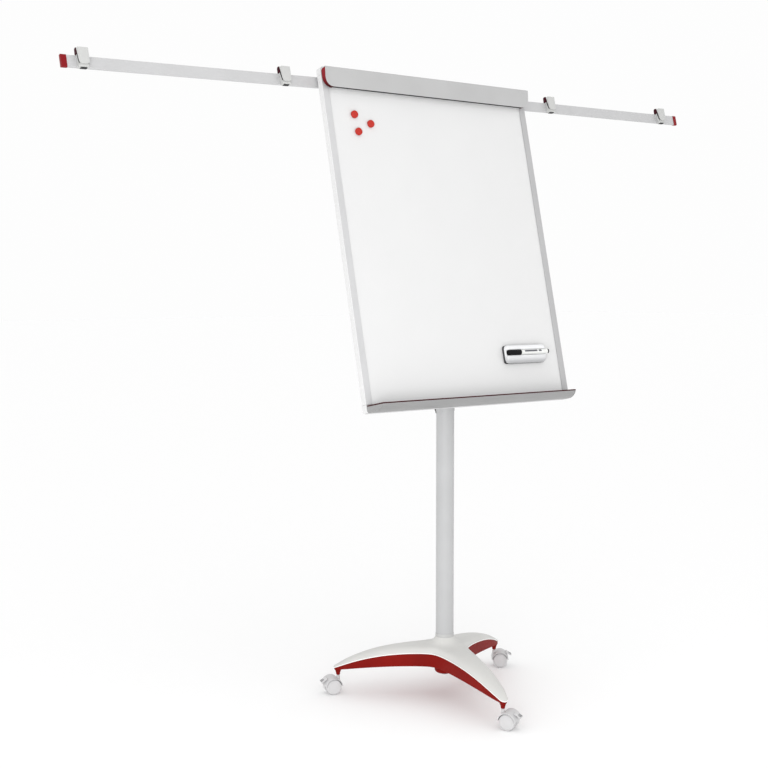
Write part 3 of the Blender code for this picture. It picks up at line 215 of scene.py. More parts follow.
SLOT_LOOKS = {
    "white_plastic": WHITE_PLASTIC, "white_powder_coat": POST_COAT, "red_powder_coat": RED_COAT,
    "red_plastic": RED_PLASTIC, "dark_rubber": DARK_RUBBER, "black_plastic": BLACK_PLASTIC, "bright_steel": STEEL,
    "coated_aluminium": RAIL_COAT, "white_enamel": ENAMEL, "core_board": CORE, "grey_felt": FELT,
}
# frame_right, pen_tray and tray_edge_strip take looks with painted shade
NODE_LOOKS = {
    "frame_left": FRAME_COAT, "frame_right": RIGHT_RAIL_PAINTED_SHADE, "arm_left": ARM_COAT, "arm_right": ARM_COAT,
    "clamp_profile": CLAMP_COAT, "pen_tray": TRAY_COAT_PAINTED_SHADE, "corner_low_left": FRAME_COAT, "corner_low_right": FRAME_COAT,
    "corner_top_left": FRAME_COAT, "corner_top_right": FRAME_COAT, "post_collar": POST_COAT,
    "tray_edge_strip": RED_LINER_PAINTED_SHADE, "height_lever": BLACK_PLASTIC,
}


def node_look(node):
    """A node's own look if it has one, or else its material slot's."""
    return NODE_LOOKS.get(node, SLOT_LOOKS[SLOT_OF[node]])


for node_name, obj in frame["nodes"].items():
    obj.data.materials.clear()
    obj.data.materials.append(node_look(node_name))


# ---------------------------------------------------------------- shape helpers
NEW_MERGE = 0.000002
FACET_MERGE = 0.00001
FLAT_ANGLE = math.radians(0.4)  # facets closer than this to one plane become one face


def turned(profile, sides, place=Matrix(), axis="Z"):
    """Solid of revolution about an axis; profile points are (radius, height), with radius 0 only at its ends."""
    points = []
    rows = []
    for radius, height in profile:
        if radius == 0:
            rows.append([len(points)])
            points.append((0, 0, height))
            continue
        rows.append(list(range(len(points), len(points) + sides)))
        for i in range(sides):
            angle = 2 * math.pi * i / sides
            points.append((radius * math.cos(angle), radius * math.sin(angle), height))
    faces = []
    pairs = list(zip(rows, rows[1:]))
    if profile[0][0] != 0:
        pairs.append((rows[-1], rows[0]))
    for here, there in pairs:
        for i in range(sides):
            j = (i + 1) % sides
            if len(here) == 1:
                faces.append((here[0], there[j], there[i]))
            elif len(there) == 1:
                faces.append((here[i], here[j], there[0]))
            else:
                faces.append((here[i], here[j], there[j], there[i]))
    turn = {"X": Matrix.Rotation(math.pi / 2, 4, "Y"), "Y": Matrix.Rotation(-math.pi / 2, 4, "X"), "Z": Matrix()}[axis]
    return [tuple(place @ turn @ Vector(p)) for p in points], faces


def loft(loops, closed=False):
    """Skin over loops of equal length, capped at both ends, or joined end to end when closed."""
    count = len(loops[0])
    points = [tuple(p) for loop in loops for p in loop]
    faces = []
    for row in range(len(loops) if closed else len(loops) - 1):
        here = row * count
        there = ((row + 1) % len(loops)) * count
        for i in range(count):
            j = (i + 1) % count
            faces.append((here + i, here + j, there + j, there + i))
    if not closed:
        faces.append(tuple(range(count)))
        last = (len(loops) - 1) * count
        faces.append(tuple(last + i for i in reversed(range(count))))
    return points, faces


def prism_x(section, ends):
    """Bar along x between two ends, from a (y, z) section."""
    return loft([[(x, y, z) for y, z in section] for x in ends])


def prism_y(outline, ends):
    """Plate along y between two ends, from an (x, z) outline."""
    return loft([[(x, y, z) for x, z in outline] for y in ends])


def both_ways(low, high, side):
    """Ends of a span to the right of the middle, or of its mirror image, in rising order."""
    return sorted((side * low, side * high))


def moved(shape, place):
    return [tuple(place @ Vector(p)) for p in shape[0]], shape[1]


def joined(shapes):
    points = []
    faces = []
    for shape_points, shape_faces in shapes:
        start = len(points)
        points += shape_points
        faces += [tuple(start + i for i in face) for face in shape_faces]
    return points, faces


def arc(centre, radius, start, end, steps):
    """Points on a circle between two angles in degrees."""
    angles = [math.radians(start + (end - start) * i / steps) for i in range(steps + 1)]
    return [(centre[0] + radius * math.cos(a), centre[1] + radius * math.sin(a)) for a in angles]


def rounded_path(corners, radii, steps=5):
    """Closed 2D outline through corners, each rounded by one radius, or by its own from a list."""
    result = []
    count = len(corners)
    for i in range(count):
        before, here, after = (Vector(corners[(i + k) % count]) for k in (-1, 0, 1))
        radius = radii[i] if isinstance(radii, (list, tuple)) else radii
        if radius <= 0:
            result.append(tuple(here))
            continue
        to_before = (before - here).normalized()
        to_after = (after - here).normalized()
        start = here + to_before * radius
        end = here + to_after * radius
        for k in range(steps + 1):
            t = k / steps
            result.append(tuple(start * (1 - t) ** 2 + here * 2 * t * (1 - t) + end * t ** 2))
    return result


def finish_piece(made, surface, body, slot, nodes=(), bevel=0.0, segments=2, edge_angle=30.0):
    """Rounds a piece's edges, shades it smooth, and hands it to the frame."""
    mesh = made.data
    mesh.materials.clear()
    mesh.materials.append(surface)
    mesh.shade_smooth()
    if bevel:
        edge = made.modifiers.new("edge_round", "BEVEL")
        edge.width = bevel
        edge.segments = segments
        edge.limit_method = "ANGLE"
        edge.angle_limit = math.radians(edge_angle)
        made.modifiers.new("even_shade", "WEIGHTED_NORMAL").weight = 80
    else:
        mesh.set_sharp_from_angle(angle=math.radians(edge_angle))
    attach(made, body)
    if nodes:
        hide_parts(*nodes)
    return made


def new_object(name, shape):
    """Object from points and faces, with close points merged and its normals outwards."""
    mesh = bpy.data.meshes.new(name)
    mesh.from_pydata(shape[0], [], shape[1])
    work = bmesh.new()
    work.from_mesh(mesh)
    bmesh.ops.remove_doubles(work, verts=work.verts, dist=NEW_MERGE)
    bmesh.ops.recalc_face_normals(work, faces=work.faces)
    work.to_mesh(mesh)
    work.free()
    made = bpy.data.objects.new(name, mesh)
    bpy.context.scene.collection.objects.link(made)
    return made


def piece(name, shape, surface, node, nodes=None, **options):
    """New mesh piece that rides with a CAD node's body, and stands for it unless nodes says which."""
    stands_for = (node,) if nodes is None else nodes
    return finish_piece(new_object(name, shape), surface, BODY_OF[node], SLOT_OF[node], stands_for, **options)


def carve(made, operation, shape):
    """Cuts or joins a closed shape, at once."""
    tool = new_object("tool", shape)
    change = made.modifiers.new("change", "BOOLEAN")
    change.operation = operation
    change.solver = "EXACT"
    change.object = tool
    view = bpy.context.evaluated_depsgraph_get()
    result = bpy.data.meshes.new_from_object(made.evaluated_get(view))
    made.modifiers.clear()
    made.data = result
    bpy.data.objects.remove(tool)


def refine(node, bevel):
    """Copy of a CAD node with its facets merged, its edges rounded and its shading smooth."""
    mesh = frame["nodes"][node].data.copy()
    if "custom_normal" in mesh.attributes:
        mesh.attributes.remove(mesh.attributes["custom_normal"])
    work = bmesh.new()
    work.from_mesh(mesh)
    bmesh.ops.remove_doubles(work, verts=work.verts, dist=FACET_MERGE)
    bmesh.ops.dissolve_limit(work, angle_limit=FLAT_ANGLE, verts=work.verts, edges=work.edges, delimit=set())
    work.to_mesh(mesh)
    work.free()
    made = bpy.data.objects.new(f"{node}_fine", mesh)
    bpy.context.scene.collection.objects.link(made)
    return finish_piece(made, node_look(node), BODY_OF[node], SLOT_OF[node], (node,), bevel=bevel)


def second_look(made, surface, picks):
    """Gives the faces that picks chooses, by normal and centre, another look."""
    made.data.materials.append(surface)
    for face in made.data.polygons:
        if picks(face.normal, face.center):
            face.material_index = 1


def faces_left(normal, centre):
    return normal.x < -0.5


# ---------------------------------------------------------------- places, read from the frame
X_AXIS = Vector((1, 0, 0))
BOARD_TOP = 0.9025
RAIL_DEPTH = 0.020


def board_place():
    """Board frame: x to the right, y backwards from the frame's front face, z up the board from the tray's top."""
    mount = mounts["frame_top_face"]
    up = Vector(mount["axis"]).normalized()
    back = up.cross(X_AXIS)
    origin = Vector(mount["pos_m"]) - up * BOARD_TOP - back * RAIL_DEPTH / 2
    place = Matrix((X_AXIS, back, up)).transposed().to_4x4()
    place.translation = origin
    return place


BOARD = board_place()
POST = Vector(joints["height_lever_turn"]["pos_m"])
POST.z = 0
LEGS = ("front", "right", "left")


def castor_place(leg):
    """Castor frame at the floor: the stem's axis at x = y = 0, the wheels trailing towards +x."""
    stem = Vector(joints[f"caster_{leg}_swivel"]["pos_m"])
    across = Vector(joints[f"caster_{leg}_roll"]["axis"]).normalized()
    ahead = across.cross(Vector((0, 0, 1)))
    place = Matrix((ahead, across, Vector((0, 0, 1)))).transposed().to_4x4()
    place.translation = (stem.x, stem.y, 0)
    return place


# ---------------------------------------------------------------- base
LEG_TIP_RADIUS = 0.013
LEG_ROOT_REACH = 0.033
LEG_ROOT_SPREAD = 0.036
LEG_FILLET = 0.0072
BASE_EDGE_Z = 0.1305  # the line between red and white, at the post
BASE_EDGE_DROP = 0.058  # how far it has come down at BASE_DROP_REACH
BASE_LOW_Z = 0.0925
BASE_LOW_DROP = 0.027
BASE_DROP_REACH = 0.315
COVER_RIM = 0.003
COVER_DOME = 0.0125
COVER_WALL = 0.0025
COVER_RINGS = 32
COVER_CENTRE_RADIUS = 0.046
COVER_FLARE = 0.023  # rise of the cover round the post
COVER_FLARE_REACH = 0.0105
POST_RADIUS = 0.025
POST_GAP = 0.0006  # between the post and the cover
FRAME_FLOOR = 0.003
CUP_HOLE_RADIUS = 0.0291


def leg_directions():
    """Angle and reach of each castor's stem from the post's axis."""
    reaches = []
    for leg in LEGS:
        stem = Vector(joints[f"caster_{leg}_swivel"]["pos_m"]) - POST
        reaches.append((math.atan2(stem.y, stem.x), math.hypot(stem.x, stem.y)))
    return sorted(reaches)


def base_outline(steps=26, tip_steps=14):
    """Plan outline of the three-legged star round the post's axis, anticlockwise."""
    outline = []
    for angle, stem_reach in leg_directions():
        side = []
        for i in range(steps):
            u = 0.97 * (i / steps) ** 1.5
            taper = LEG_ROOT_SPREAD * (1 - u) ** 0.7
            width = LEG_TIP_RADIUS + taper + LEG_FILLET * math.exp(-u / 0.06)
            side.append((LEG_ROOT_REACH + (stem_reach - LEG_ROOT_REACH) * u, width))
        tip = arc((stem_reach, 0), LEG_TIP_RADIUS, -82, 82, tip_steps)
        leg = [(x, -w) for x, w in side] + tip + [(x, w) for x, w in reversed(side[1:])]
        turn = Matrix.Rotation(angle, 2)
        outline += [tuple(turn @ Vector(p)) for p in leg]
    return outline


def inset(outline, distance):
    """Outline moved inwards by a distance."""
    count = len(outline)
    result = []
    for i in range(count):
        before, here, after = (Vector(outline[(i + k) % count]) for k in (-1, 0, 1))
        heading = ((here - before).normalized() + (after - here).normalized()).normalized()
        result.append((here.x - heading.y * distance, here.y + heading.x * distance))
    return result


def edge_height(reach):
    """Height of the line between the red frame and the white cover, by distance from the post's axis."""
    return BASE_EDGE_Z - BASE_EDGE_DROP * (reach / BASE_DROP_REACH) ** 2.6


def low_height(reach):
    """Height of the red frame's underside."""
    return BASE_LOW_Z - BASE_LOW_DROP * (reach / BASE_DROP_REACH) ** 2


def cover_height(reach, rim_reach):
    """Height of the cover's top, without its rise round the post, on a ray whose outline is at rim_reach."""
    beyond = max(0.0, (reach - COVER_CENTRE_RADIUS) / (rim_reach - COVER_CENTRE_RADIUS))
    return edge_height(max(reach, COVER_CENTRE_RADIUS)) + COVER_RIM + COVER_DOME * (1 - beyond ** 4)


def raised(outline, height):
    """Plan outline lifted to a height that depends on the distance from the axis."""
    return [(x, y, height(math.hypot(x, y))) for x, y in outline]


def make_base():
    """White cover with its rim in a whiter look as a painted highlight, and the red frame with the castors' sockets."""
    place = Matrix.Translation(POST)
    outline = base_outline()
    bore = POST_RADIUS + POST_GAP
    rings = []
    under = []
    for k in range(COVER_RINGS + 1):
        part = (k / COVER_RINGS) ** 1.7
        top = []
        low = []
        for x, y in outline:
            rim_reach = math.hypot(x, y)
            reach = bore + (rim_reach - 0.0008 - bore) * part
            height = cover_height(reach, rim_reach) + COVER_FLARE * math.exp((bore - reach) / COVER_FLARE_REACH)
            top.append((x / rim_reach * reach, y / rim_reach * reach, height))
            share = (reach - 0.0022 * part) / rim_reach
            low.append((x * share, y * share, height - COVER_WALL))
        rings.append(top)
        under.append(low)
    shoulder = raised(outline, lambda r: edge_height(r) + 0.0022)
    foot = raised(outline, lambda r: edge_height(r) + 0.0016)
    tuck = raised(inset(outline, 0.0022), lambda r: edge_height(r) + 0.0016)
    loops = rings + [shoulder, foot, tuck] + list(reversed(under))
    piece("base_cover_shell", moved(loft(loops, closed=True), place), COVER_WHITE, "base_cover", edge_angle=50)
    rim_section = ((-0.0003, 0.0015), (-0.0003, -0.0004), (0.0006, -0.0011), (0.0018, -0.0011), (0.0018, 0.0015))
    rim = []
    for distance, rise in rim_section:
        rim.append(raised(inset(outline, distance), lambda r, rise=rise: edge_height(r) + rise))
    # the rim in its whiter look is a painted highlight along the cover's edge
    piece("base_cover_rim", moved(loft(rim, closed=True), place), RIM_PAINTED_HIGHLIGHT, "base_cover", nodes=())

    outer = inset(outline, 0.0020)
    inner = inset(outline, 0.0050)
    middle = [(x * 0.62, y * 0.62) for x, y in inner]
    hole = [(x / math.hypot(x, y) * CUP_HOLE_RADIUS, y / math.hypot(x, y) * CUP_HOLE_RADIUS) for x, y in outline]
    loops = [
        raised(hole, low_height), raised(middle, low_height), raised(inner, low_height),
        raised(inset(outline, 0.0030), lambda r: low_height(r) + 0.0004),
        raised(inset(outline, 0.0023), lambda r: low_height(r) + 0.0012),
        raised(outer, lambda r: low_height(r) + 0.0024), raised(outer, lambda r: edge_height(r) - 0.0013),
        raised(inner, lambda r: edge_height(r) - 0.0013), raised(inner, lambda r: low_height(r) + FRAME_FLOOR),
        raised(middle, lambda r: low_height(r) + FRAME_FLOOR), raised(hole, lambda r: low_height(r) + FRAME_FLOOR),
    ]
    piece("base_frame_shell", moved(loft(loops, closed=True), place), RED_COAT, "base_frame")
    socket = [
        (0.0041, 0.0520), (0.0050, 0.0516), (0.0056, 0.0530), (0.0060, 0.0565), (0.0070, 0.0605), (0.0084, 0.0640),
        (0.0102, 0.0672), (0.0112, 0.0695), (0.0041, 0.0695),
    ]
    sockets = []
    for leg in LEGS:
        stem = joints[f"caster_{leg}_swivel"]["pos_m"]
        sockets.append(turned(socket, 40, Matrix.Translation((stem[0], stem[1], 0))))
    piece("castor_sockets", joined(sockets), RED_COAT, "base_frame", nodes=(), edge_angle=40)


# ---------------------------------------------------------------- posts
SKIRT_HEIGHT = 0.009
CUP_FLANGE = 0.0032
CUP_FLOOR = 0.0045


def levels_of(node):
    """Lowest and highest z of a CAD node."""
    low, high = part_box(node)
    return low.z, high.z


def make_posts():
    """Both tubes, the ring at the post's foot, the collar, and the cup below the cover."""
    place = Matrix.Translation(POST)
    low, high = levels_of("outer_post")
    tube = [(0.0045, low), (0.0244, low), (0.025, low + 0.0006), (0.025, high - 0.0005), (0.0246, high),
            (0.0232, high), (0.0232, low + 0.006), (0.0045, low + 0.006)]
    piece("outer_post_tube", turned(tube, 96, place), POST_COAT, "outer_post")
    low, high = levels_of("inner_post")
    tube = [(0.0204, low), (0.022, low), (0.022, high), (0.0204, high)]
    piece("inner_post_tube", turned(tube, 96, place), POST_COAT, "inner_post")
    low = levels_of("post_skirt")[0] + COVER_FLARE - 0.0008
    high = low + SKIRT_HEIGHT
    ring = [(0.0254, low), (0.0264, low), (0.0266, low + 0.0006), (0.0262, low + 0.0035), (0.0259, high - 0.0006),
            (0.0256, high), (0.0254, high)]
    piece("post_skirt_ring", turned(ring, 96, place), SKIRT_GREY, "post_skirt", edge_angle=50)
    refine("post_collar", 0.0003)
    cup_low, cup_top = levels_of("hub_cup")
    cup = [(0.0045, cup_low), (0.0195, cup_low)] + [
        (0.0195 + 0.009 * math.sin(a), cup_low + 0.009 * (1 - math.cos(a)))
        for a in [math.pi / 2 * i / 8 for i in range(1, 9)]
    ]
    flange = BASE_LOW_Z + 0.0033
    cup += [(0.0285, flange), (0.040, flange), (0.040, flange + CUP_FLANGE), (0.0305, flange + CUP_FLANGE),
            (0.0305, cup_top), (0.0254, cup_top), (0.0254, cup_low + CUP_FLOOR), (0.0045, cup_low + CUP_FLOOR)]
    piece("hub_cup_shell", turned(cup, 72, place), RED_COAT, "hub_cup")


# ---------------------------------------------------------------- castors
WHEEL_RADIUS = 0.0218
WHEEL_INNER_Y = 0.0065
WHEEL_OUTER_Y = 0.0235
AXLE_RADIUS = 0.003
FENDER_RADIUS = 0.0256
FENDER_INNER_RADIUS = 0.0233
CASTOR_TRAIL = 0.018
CASTOR_WEB_Y = 0.0055
STEM_RADIUS = 0.0034
AXLE_GAP = 0.0006
PEDAL_SLOPE = math.radians(-30)
PEDAL_LENGTH = 0.0165
PEDAL_HALF = 0.0092
RIB_HALF = 0.0070


def wheel_profile():
    """Two wheels on an axle: rounded treads, and outer faces with a fine groove round a slightly domed cap."""
    r, y = WHEEL_RADIUS, WHEEL_OUTER_Y
    half = [
        (AXLE_RADIUS, WHEEL_INNER_Y), (r - 0.0030, WHEEL_INNER_Y), (r - 0.0010, WHEEL_INNER_Y + 0.0008),
        (r - 0.0002, WHEEL_INNER_Y + 0.0022), (r, WHEEL_INNER_Y + 0.0050), (r, y - 0.0065), (r - 0.0003, y - 0.0040),
        (r - 0.0011, y - 0.0020), (r - 0.0025, y - 0.0008), (r - 0.0042, y - 0.0003), (r - 0.0048, y - 0.0003),
        (r - 0.0050, y - 0.0009), (r - 0.0056, y - 0.0009), (r - 0.0058, y - 0.0003), (0.010, y - 0.0001),
        (0.005, y), (0, y),
    ]
    return [(radius, -height) for radius, height in reversed(half)] + half


def make_castor(leg):
    """Twin wheels, hood with its stem, and brake pedal with its ribs."""
    place = castor_place(leg)
    axle_z = joints[f"caster_{leg}_roll"]["pos_m"][2]
    axle = place @ Matrix.Translation((CASTOR_TRAIL, 0, axle_z))
    piece(f"{leg}_wheels", turned(wheel_profile(), 72, axle, "Y"), WHEEL_GREY, f"caster_{leg}_wheels")

    top = arc((CASTOR_TRAIL, axle_z), FENDER_RADIUS, 8, 172, 48)
    hub = [(CASTOR_TRAIL - 0.008, axle_z - 0.006), (CASTOR_TRAIL + 0.008, axle_z - 0.006)]
    block = prism_y(top + hub, (-WHEEL_OUTER_Y, WHEEL_OUTER_Y))
    hood = new_object(f"{leg}_hood", moved(block, place))
    boss = [
        (0, 0.030), (0.0052, 0.030), (0.0052, 0.0455), (0.0050, 0.0475), (0.0044, 0.0490), (0.0038, 0.0497),
        (STEM_RADIUS, 0.0499), (STEM_RADIUS, 0.0655), (STEM_RADIUS - 0.0006, 0.0662), (0, 0.0662),
    ]
    carve(hood, "UNION", turned(boss, 36, place))
    for side in (-1, 1):
        ends = both_ways(CASTOR_WEB_Y, 0.030, side)
        drum = [(0, ends[0]), (FENDER_INNER_RADIUS, ends[0]), (FENDER_INNER_RADIUS, ends[1]), (0, ends[1])]
        carve(hood, "DIFFERENCE", turned(drum, 72, axle, "Y"))
    pin = AXLE_RADIUS + AXLE_GAP
    carve(hood, "DIFFERENCE", turned([(0, -0.02), (pin, -0.02), (pin, 0.02), (0, 0.02)], 36, axle, "Y"))
    node = f"caster_{leg}_hood"
    finish_piece(hood, CASTOR_WHITE, BODY_OF[node], SLOT_OF[node], (node,), bevel=0.0003)
    middle = axle.translation
    # painted shade: the hood's faces round the wheels, on its inside, take the dark look
    second_look(hood, HOOD_INSIDE_PAINTED_SHADE, lambda normal, centre: normal.dot(middle - centre) > 0.85 * (middle - centre).length
                and abs((centre - middle).length - FENDER_INNER_RADIUS) < 0.012)

    seat = place.copy()
    seat.translation = Vector(joints[f"caster_{leg}_brake_press"]["pos_m"])
    tip = (PEDAL_LENGTH * math.cos(PEDAL_SLOPE), PEDAL_LENGTH * math.sin(PEDAL_SLOPE))
    outline = arc((0, 0), 0.0024, 60, 240, 12) + arc(tip, 0.0014, -120, 60, 8)
    slab = prism_y(outline, (-PEDAL_HALF, PEDAL_HALF))
    node = f"caster_{leg}_brake"
    piece(f"{leg}_brake_pedal", moved(slab, seat), CASTOR_WHITE, node, bevel=0.0008, segments=3)
    ribs = []
    for k in range(3):
        reach = 0.0085 + 0.0032 * k
        centre = (reach * math.cos(PEDAL_SLOPE) + 0.0009, reach * math.sin(PEDAL_SLOPE) + 0.0017)
        ribs.append(moved(prism_y(arc(centre, 0.0006, 0, 315, 7), (-RIB_HALF, RIB_HALF)), seat))
    piece(f"{leg}_brake_ribs", joined(ribs), DARK_RUBBER, node, nodes=())


# ---------------------------------------------------------------- clamp
CLAMP_LOW = 0.8437
CLAMP_TOP = 0.8945
CLAMP_CORNER_RADIUS = 0.025
CLAMP_WALL = 0.002
CLAMP_CHEEK = 0.0024
CLAMP_HALF = 0.3525
CLAMP_LUG_X = 0.200  # of the hinge's two lugs, to each side of the middle
CHEEK_SETBACK = 0.0002  # of the red cheeks behind the bar's inner face


def clamp_front(z):
    """How far in front of the board's frame the bowed bar stands at a height."""
    down = (CLAMP_TOP - z) / (CLAMP_TOP - CLAMP_LOW)
    return 0.0258 - 0.0045 * down - 0.0055 * down ** 2


def clamp_corner():
    """Centre of the right lower corner's rounding."""
    return CLAMP_HALF - CLAMP_CORNER_RADIUS, CLAMP_LOW + CLAMP_CORNER_RADIUS


def clamp_section(low):
    """(y, z) outline with a rounded upper edge and a rounded lip."""
    top = CLAMP_TOP
    levels = [low + 0.0007 + (top - 0.0045 - low) * i / 12 for i in range(13)]
    front = [(-clamp_front(z), z) for z in levels]
    edge = arc((-clamp_front(top) + 0.0036, top - 0.0036), 0.0036, 172, 92, 7)
    flange = [(-0.0070, top), (-0.0065, top - 0.0005), (-0.0065, top - CLAMP_WALL)]
    inner_edge = arc((-clamp_front(top) + 0.0040, top - 0.0040), 0.0020, 90, 172, 5)
    back = [(-clamp_front(z) + CLAMP_WALL, z) for z in reversed(levels)]
    lip = [(-clamp_front(low) + CLAMP_WALL - 0.0006, low), (-clamp_front(low) + 0.0006, low)]
    return front + edge + flange + inner_edge + back + lip


def make_clamp():
    """Bowed bar with its hinge ears, red cheeks at both ends, and the grip strip with its pale heel."""
    step_x = clamp_corner()[0] - 0.0003
    inside = arc(clamp_corner(), CLAMP_CORNER_RADIUS, 0, -90, 24) + [(step_x, CLAMP_LOW)]
    stations = inside + [(-x, z) for x, z in reversed(inside)]
    loops = [[(x, y, z) for y, z in clamp_section(low)] for x, low in stations]
    bar = new_object("clamp_bar", moved(loft(loops), BOARD))
    for x in (-CLAMP_LUG_X, CLAMP_LUG_X):
        ends = (x - 0.0053, x + 0.0053)
        notch = [(-0.0165, 0.8915), (-0.0040, 0.8915), (-0.0040, 0.8955), (-0.0165, 0.8955)]
        carve(bar, "DIFFERENCE", moved(prism_x(notch, ends), BOARD))
    node = "clamp_profile"
    finish_piece(bar, CLAMP_COAT, BODY_OF[node], SLOT_OF[node], (node,), edge_angle=32)
    ears = []
    for x in (-CLAMP_LUG_X, CLAMP_LUG_X):
        for side in (-1, 1):
            ear = [(-0.0232, 0.8820), (-0.0090, 0.8820), (-0.0090, 0.8930), (-0.0232, 0.8930)]
            ear = rounded_path(ear, [0.0, 0.003, 0.0, 0.0])
            ears.append(prism_x(ear, (x + side * 0.0055, x + side * 0.0075)))
        pin = Matrix.Translation((x, -0.0115, 0.886))
        ears.append(turned([(0, -0.0070), (0.0018, -0.0070), (0.0018, 0.0070), (0, 0.0070)], 24, pin, "X"))
    piece("clamp_ears", moved(joined(ears), BOARD), STEEL, node, nodes=())

    for side, side_name in ((-1, "left"), (1, "right")):
        outer = [(CLAMP_HALF, CLAMP_TOP - CLAMP_WALL - 0.0003 - 0.0018 * k) for k in range(14)]
        outer = [p for p in outer if p[1] > clamp_corner()[1] + 0.0005]
        inner = [(x - CLAMP_CHEEK, z) for x, z in outer]
        outer += arc(clamp_corner(), CLAMP_CORNER_RADIUS, 0, -90, 20)
        inner += arc(clamp_corner(), CLAMP_CORNER_RADIUS - CLAMP_CHEEK, 0, -90, 20)
        loops = []
        for (x_out, z_out), (x_in, z_in) in zip(outer, inner):
            rear = 0.0045 + max(0.0, z_out - CLAMP_TOP + 0.006)
            middle = ((x_out + x_in) / 2, (z_out + z_in) / 2)
            front_out, crown, front_in = (
                clamp_front(z) - CLAMP_WALL - CHEEK_SETBACK for z in (z_out, middle[1], z_in))
            loops.append([
                (side * x_out, -rear, z_out), (side * x_out, -front_out + 0.0005, z_out),
                (side * middle[0], -crown, middle[1]),
                (side * x_in, -front_in + 0.0005, z_in), (side * x_in, -rear, z_in),
            ])
        node = f"clamp_end_{side_name}"
        # the cheeks' look carries painted shade, darker towards their lower ends
        piece(f"clamp_cheek_{side_name}", moved(loft(loops), BOARD), CHEEK_RED_PAINTED_SHADE, node, edge_angle=45)

    reach = step_x - 0.0003
    nose_top = CLAMP_LOW + 0.0053
    dark = [(-0.0068, CLAMP_LOW - 0.0002), (-0.0134, CLAMP_LOW - 0.0002), (-0.0148, nose_top), (-0.0068, nose_top)]
    dark = rounded_path(dark, [0.0006, 0.0012, 0.0006, 0.0006])
    strip = moved(prism_x(dark, (-reach, reach)), BOARD)
    piece("clamp_grip", strip, DARK_RUBBER, "clamp_grip_strip", edge_angle=40)
    pale = [(-0.0009, CLAMP_LOW), (-0.0066, CLAMP_LOW), (-0.0066, nose_top), (-0.0009, nose_top)]
    heel = moved(prism_x(rounded_path(pale, 0.0008), (-reach, reach)), BOARD)
    piece("clamp_grip_heel", heel, FRAME_COAT, "clamp_grip_strip", nodes=(), edge_angle=40)


# ---------------------------------------------------------------- side arm clips
ARM_HEIGHT = 0.0295
# y of each arm's front face and z of its top edge, at the middle of the board
ARMS = {"left": {"top": 0.8914, "front": 0.026}, "right": {"top": 0.8848, "front": 0.037}}
# x of each clip along its arm
CLIPS = {"left_outer": -0.999, "left_inner": -0.4515, "right_inner": 0.4915, "right_outer": 0.982}
CLIP_HALF = 0.013
JAW_TOP = 0.0152
JAW_LOW = -0.025
JAW_CORNER_RADIUS = 0.009
JAW_FRONT = -0.0160
HOOK_BACK = 0.0100
HOOK_TOP = 0.0012
HOOK_LOW = -0.0080


def arm_place(side):
    """Arm frame: x along the arm to the right, y back from its front face, z up from its top edge."""
    axis = Vector(joints[f"arm_{side}_slide"]["axis"]).normalized()
    along = axis if side == "left" else -axis
    back = BOARD.to_3x3() @ Vector((0, 1, 0))
    up = along.cross(back)
    place = Matrix((along, back, up)).transposed().to_4x4()
    place.translation = BOARD @ Vector((0, ARMS[side]["front"], ARMS[side]["top"]))
    return place


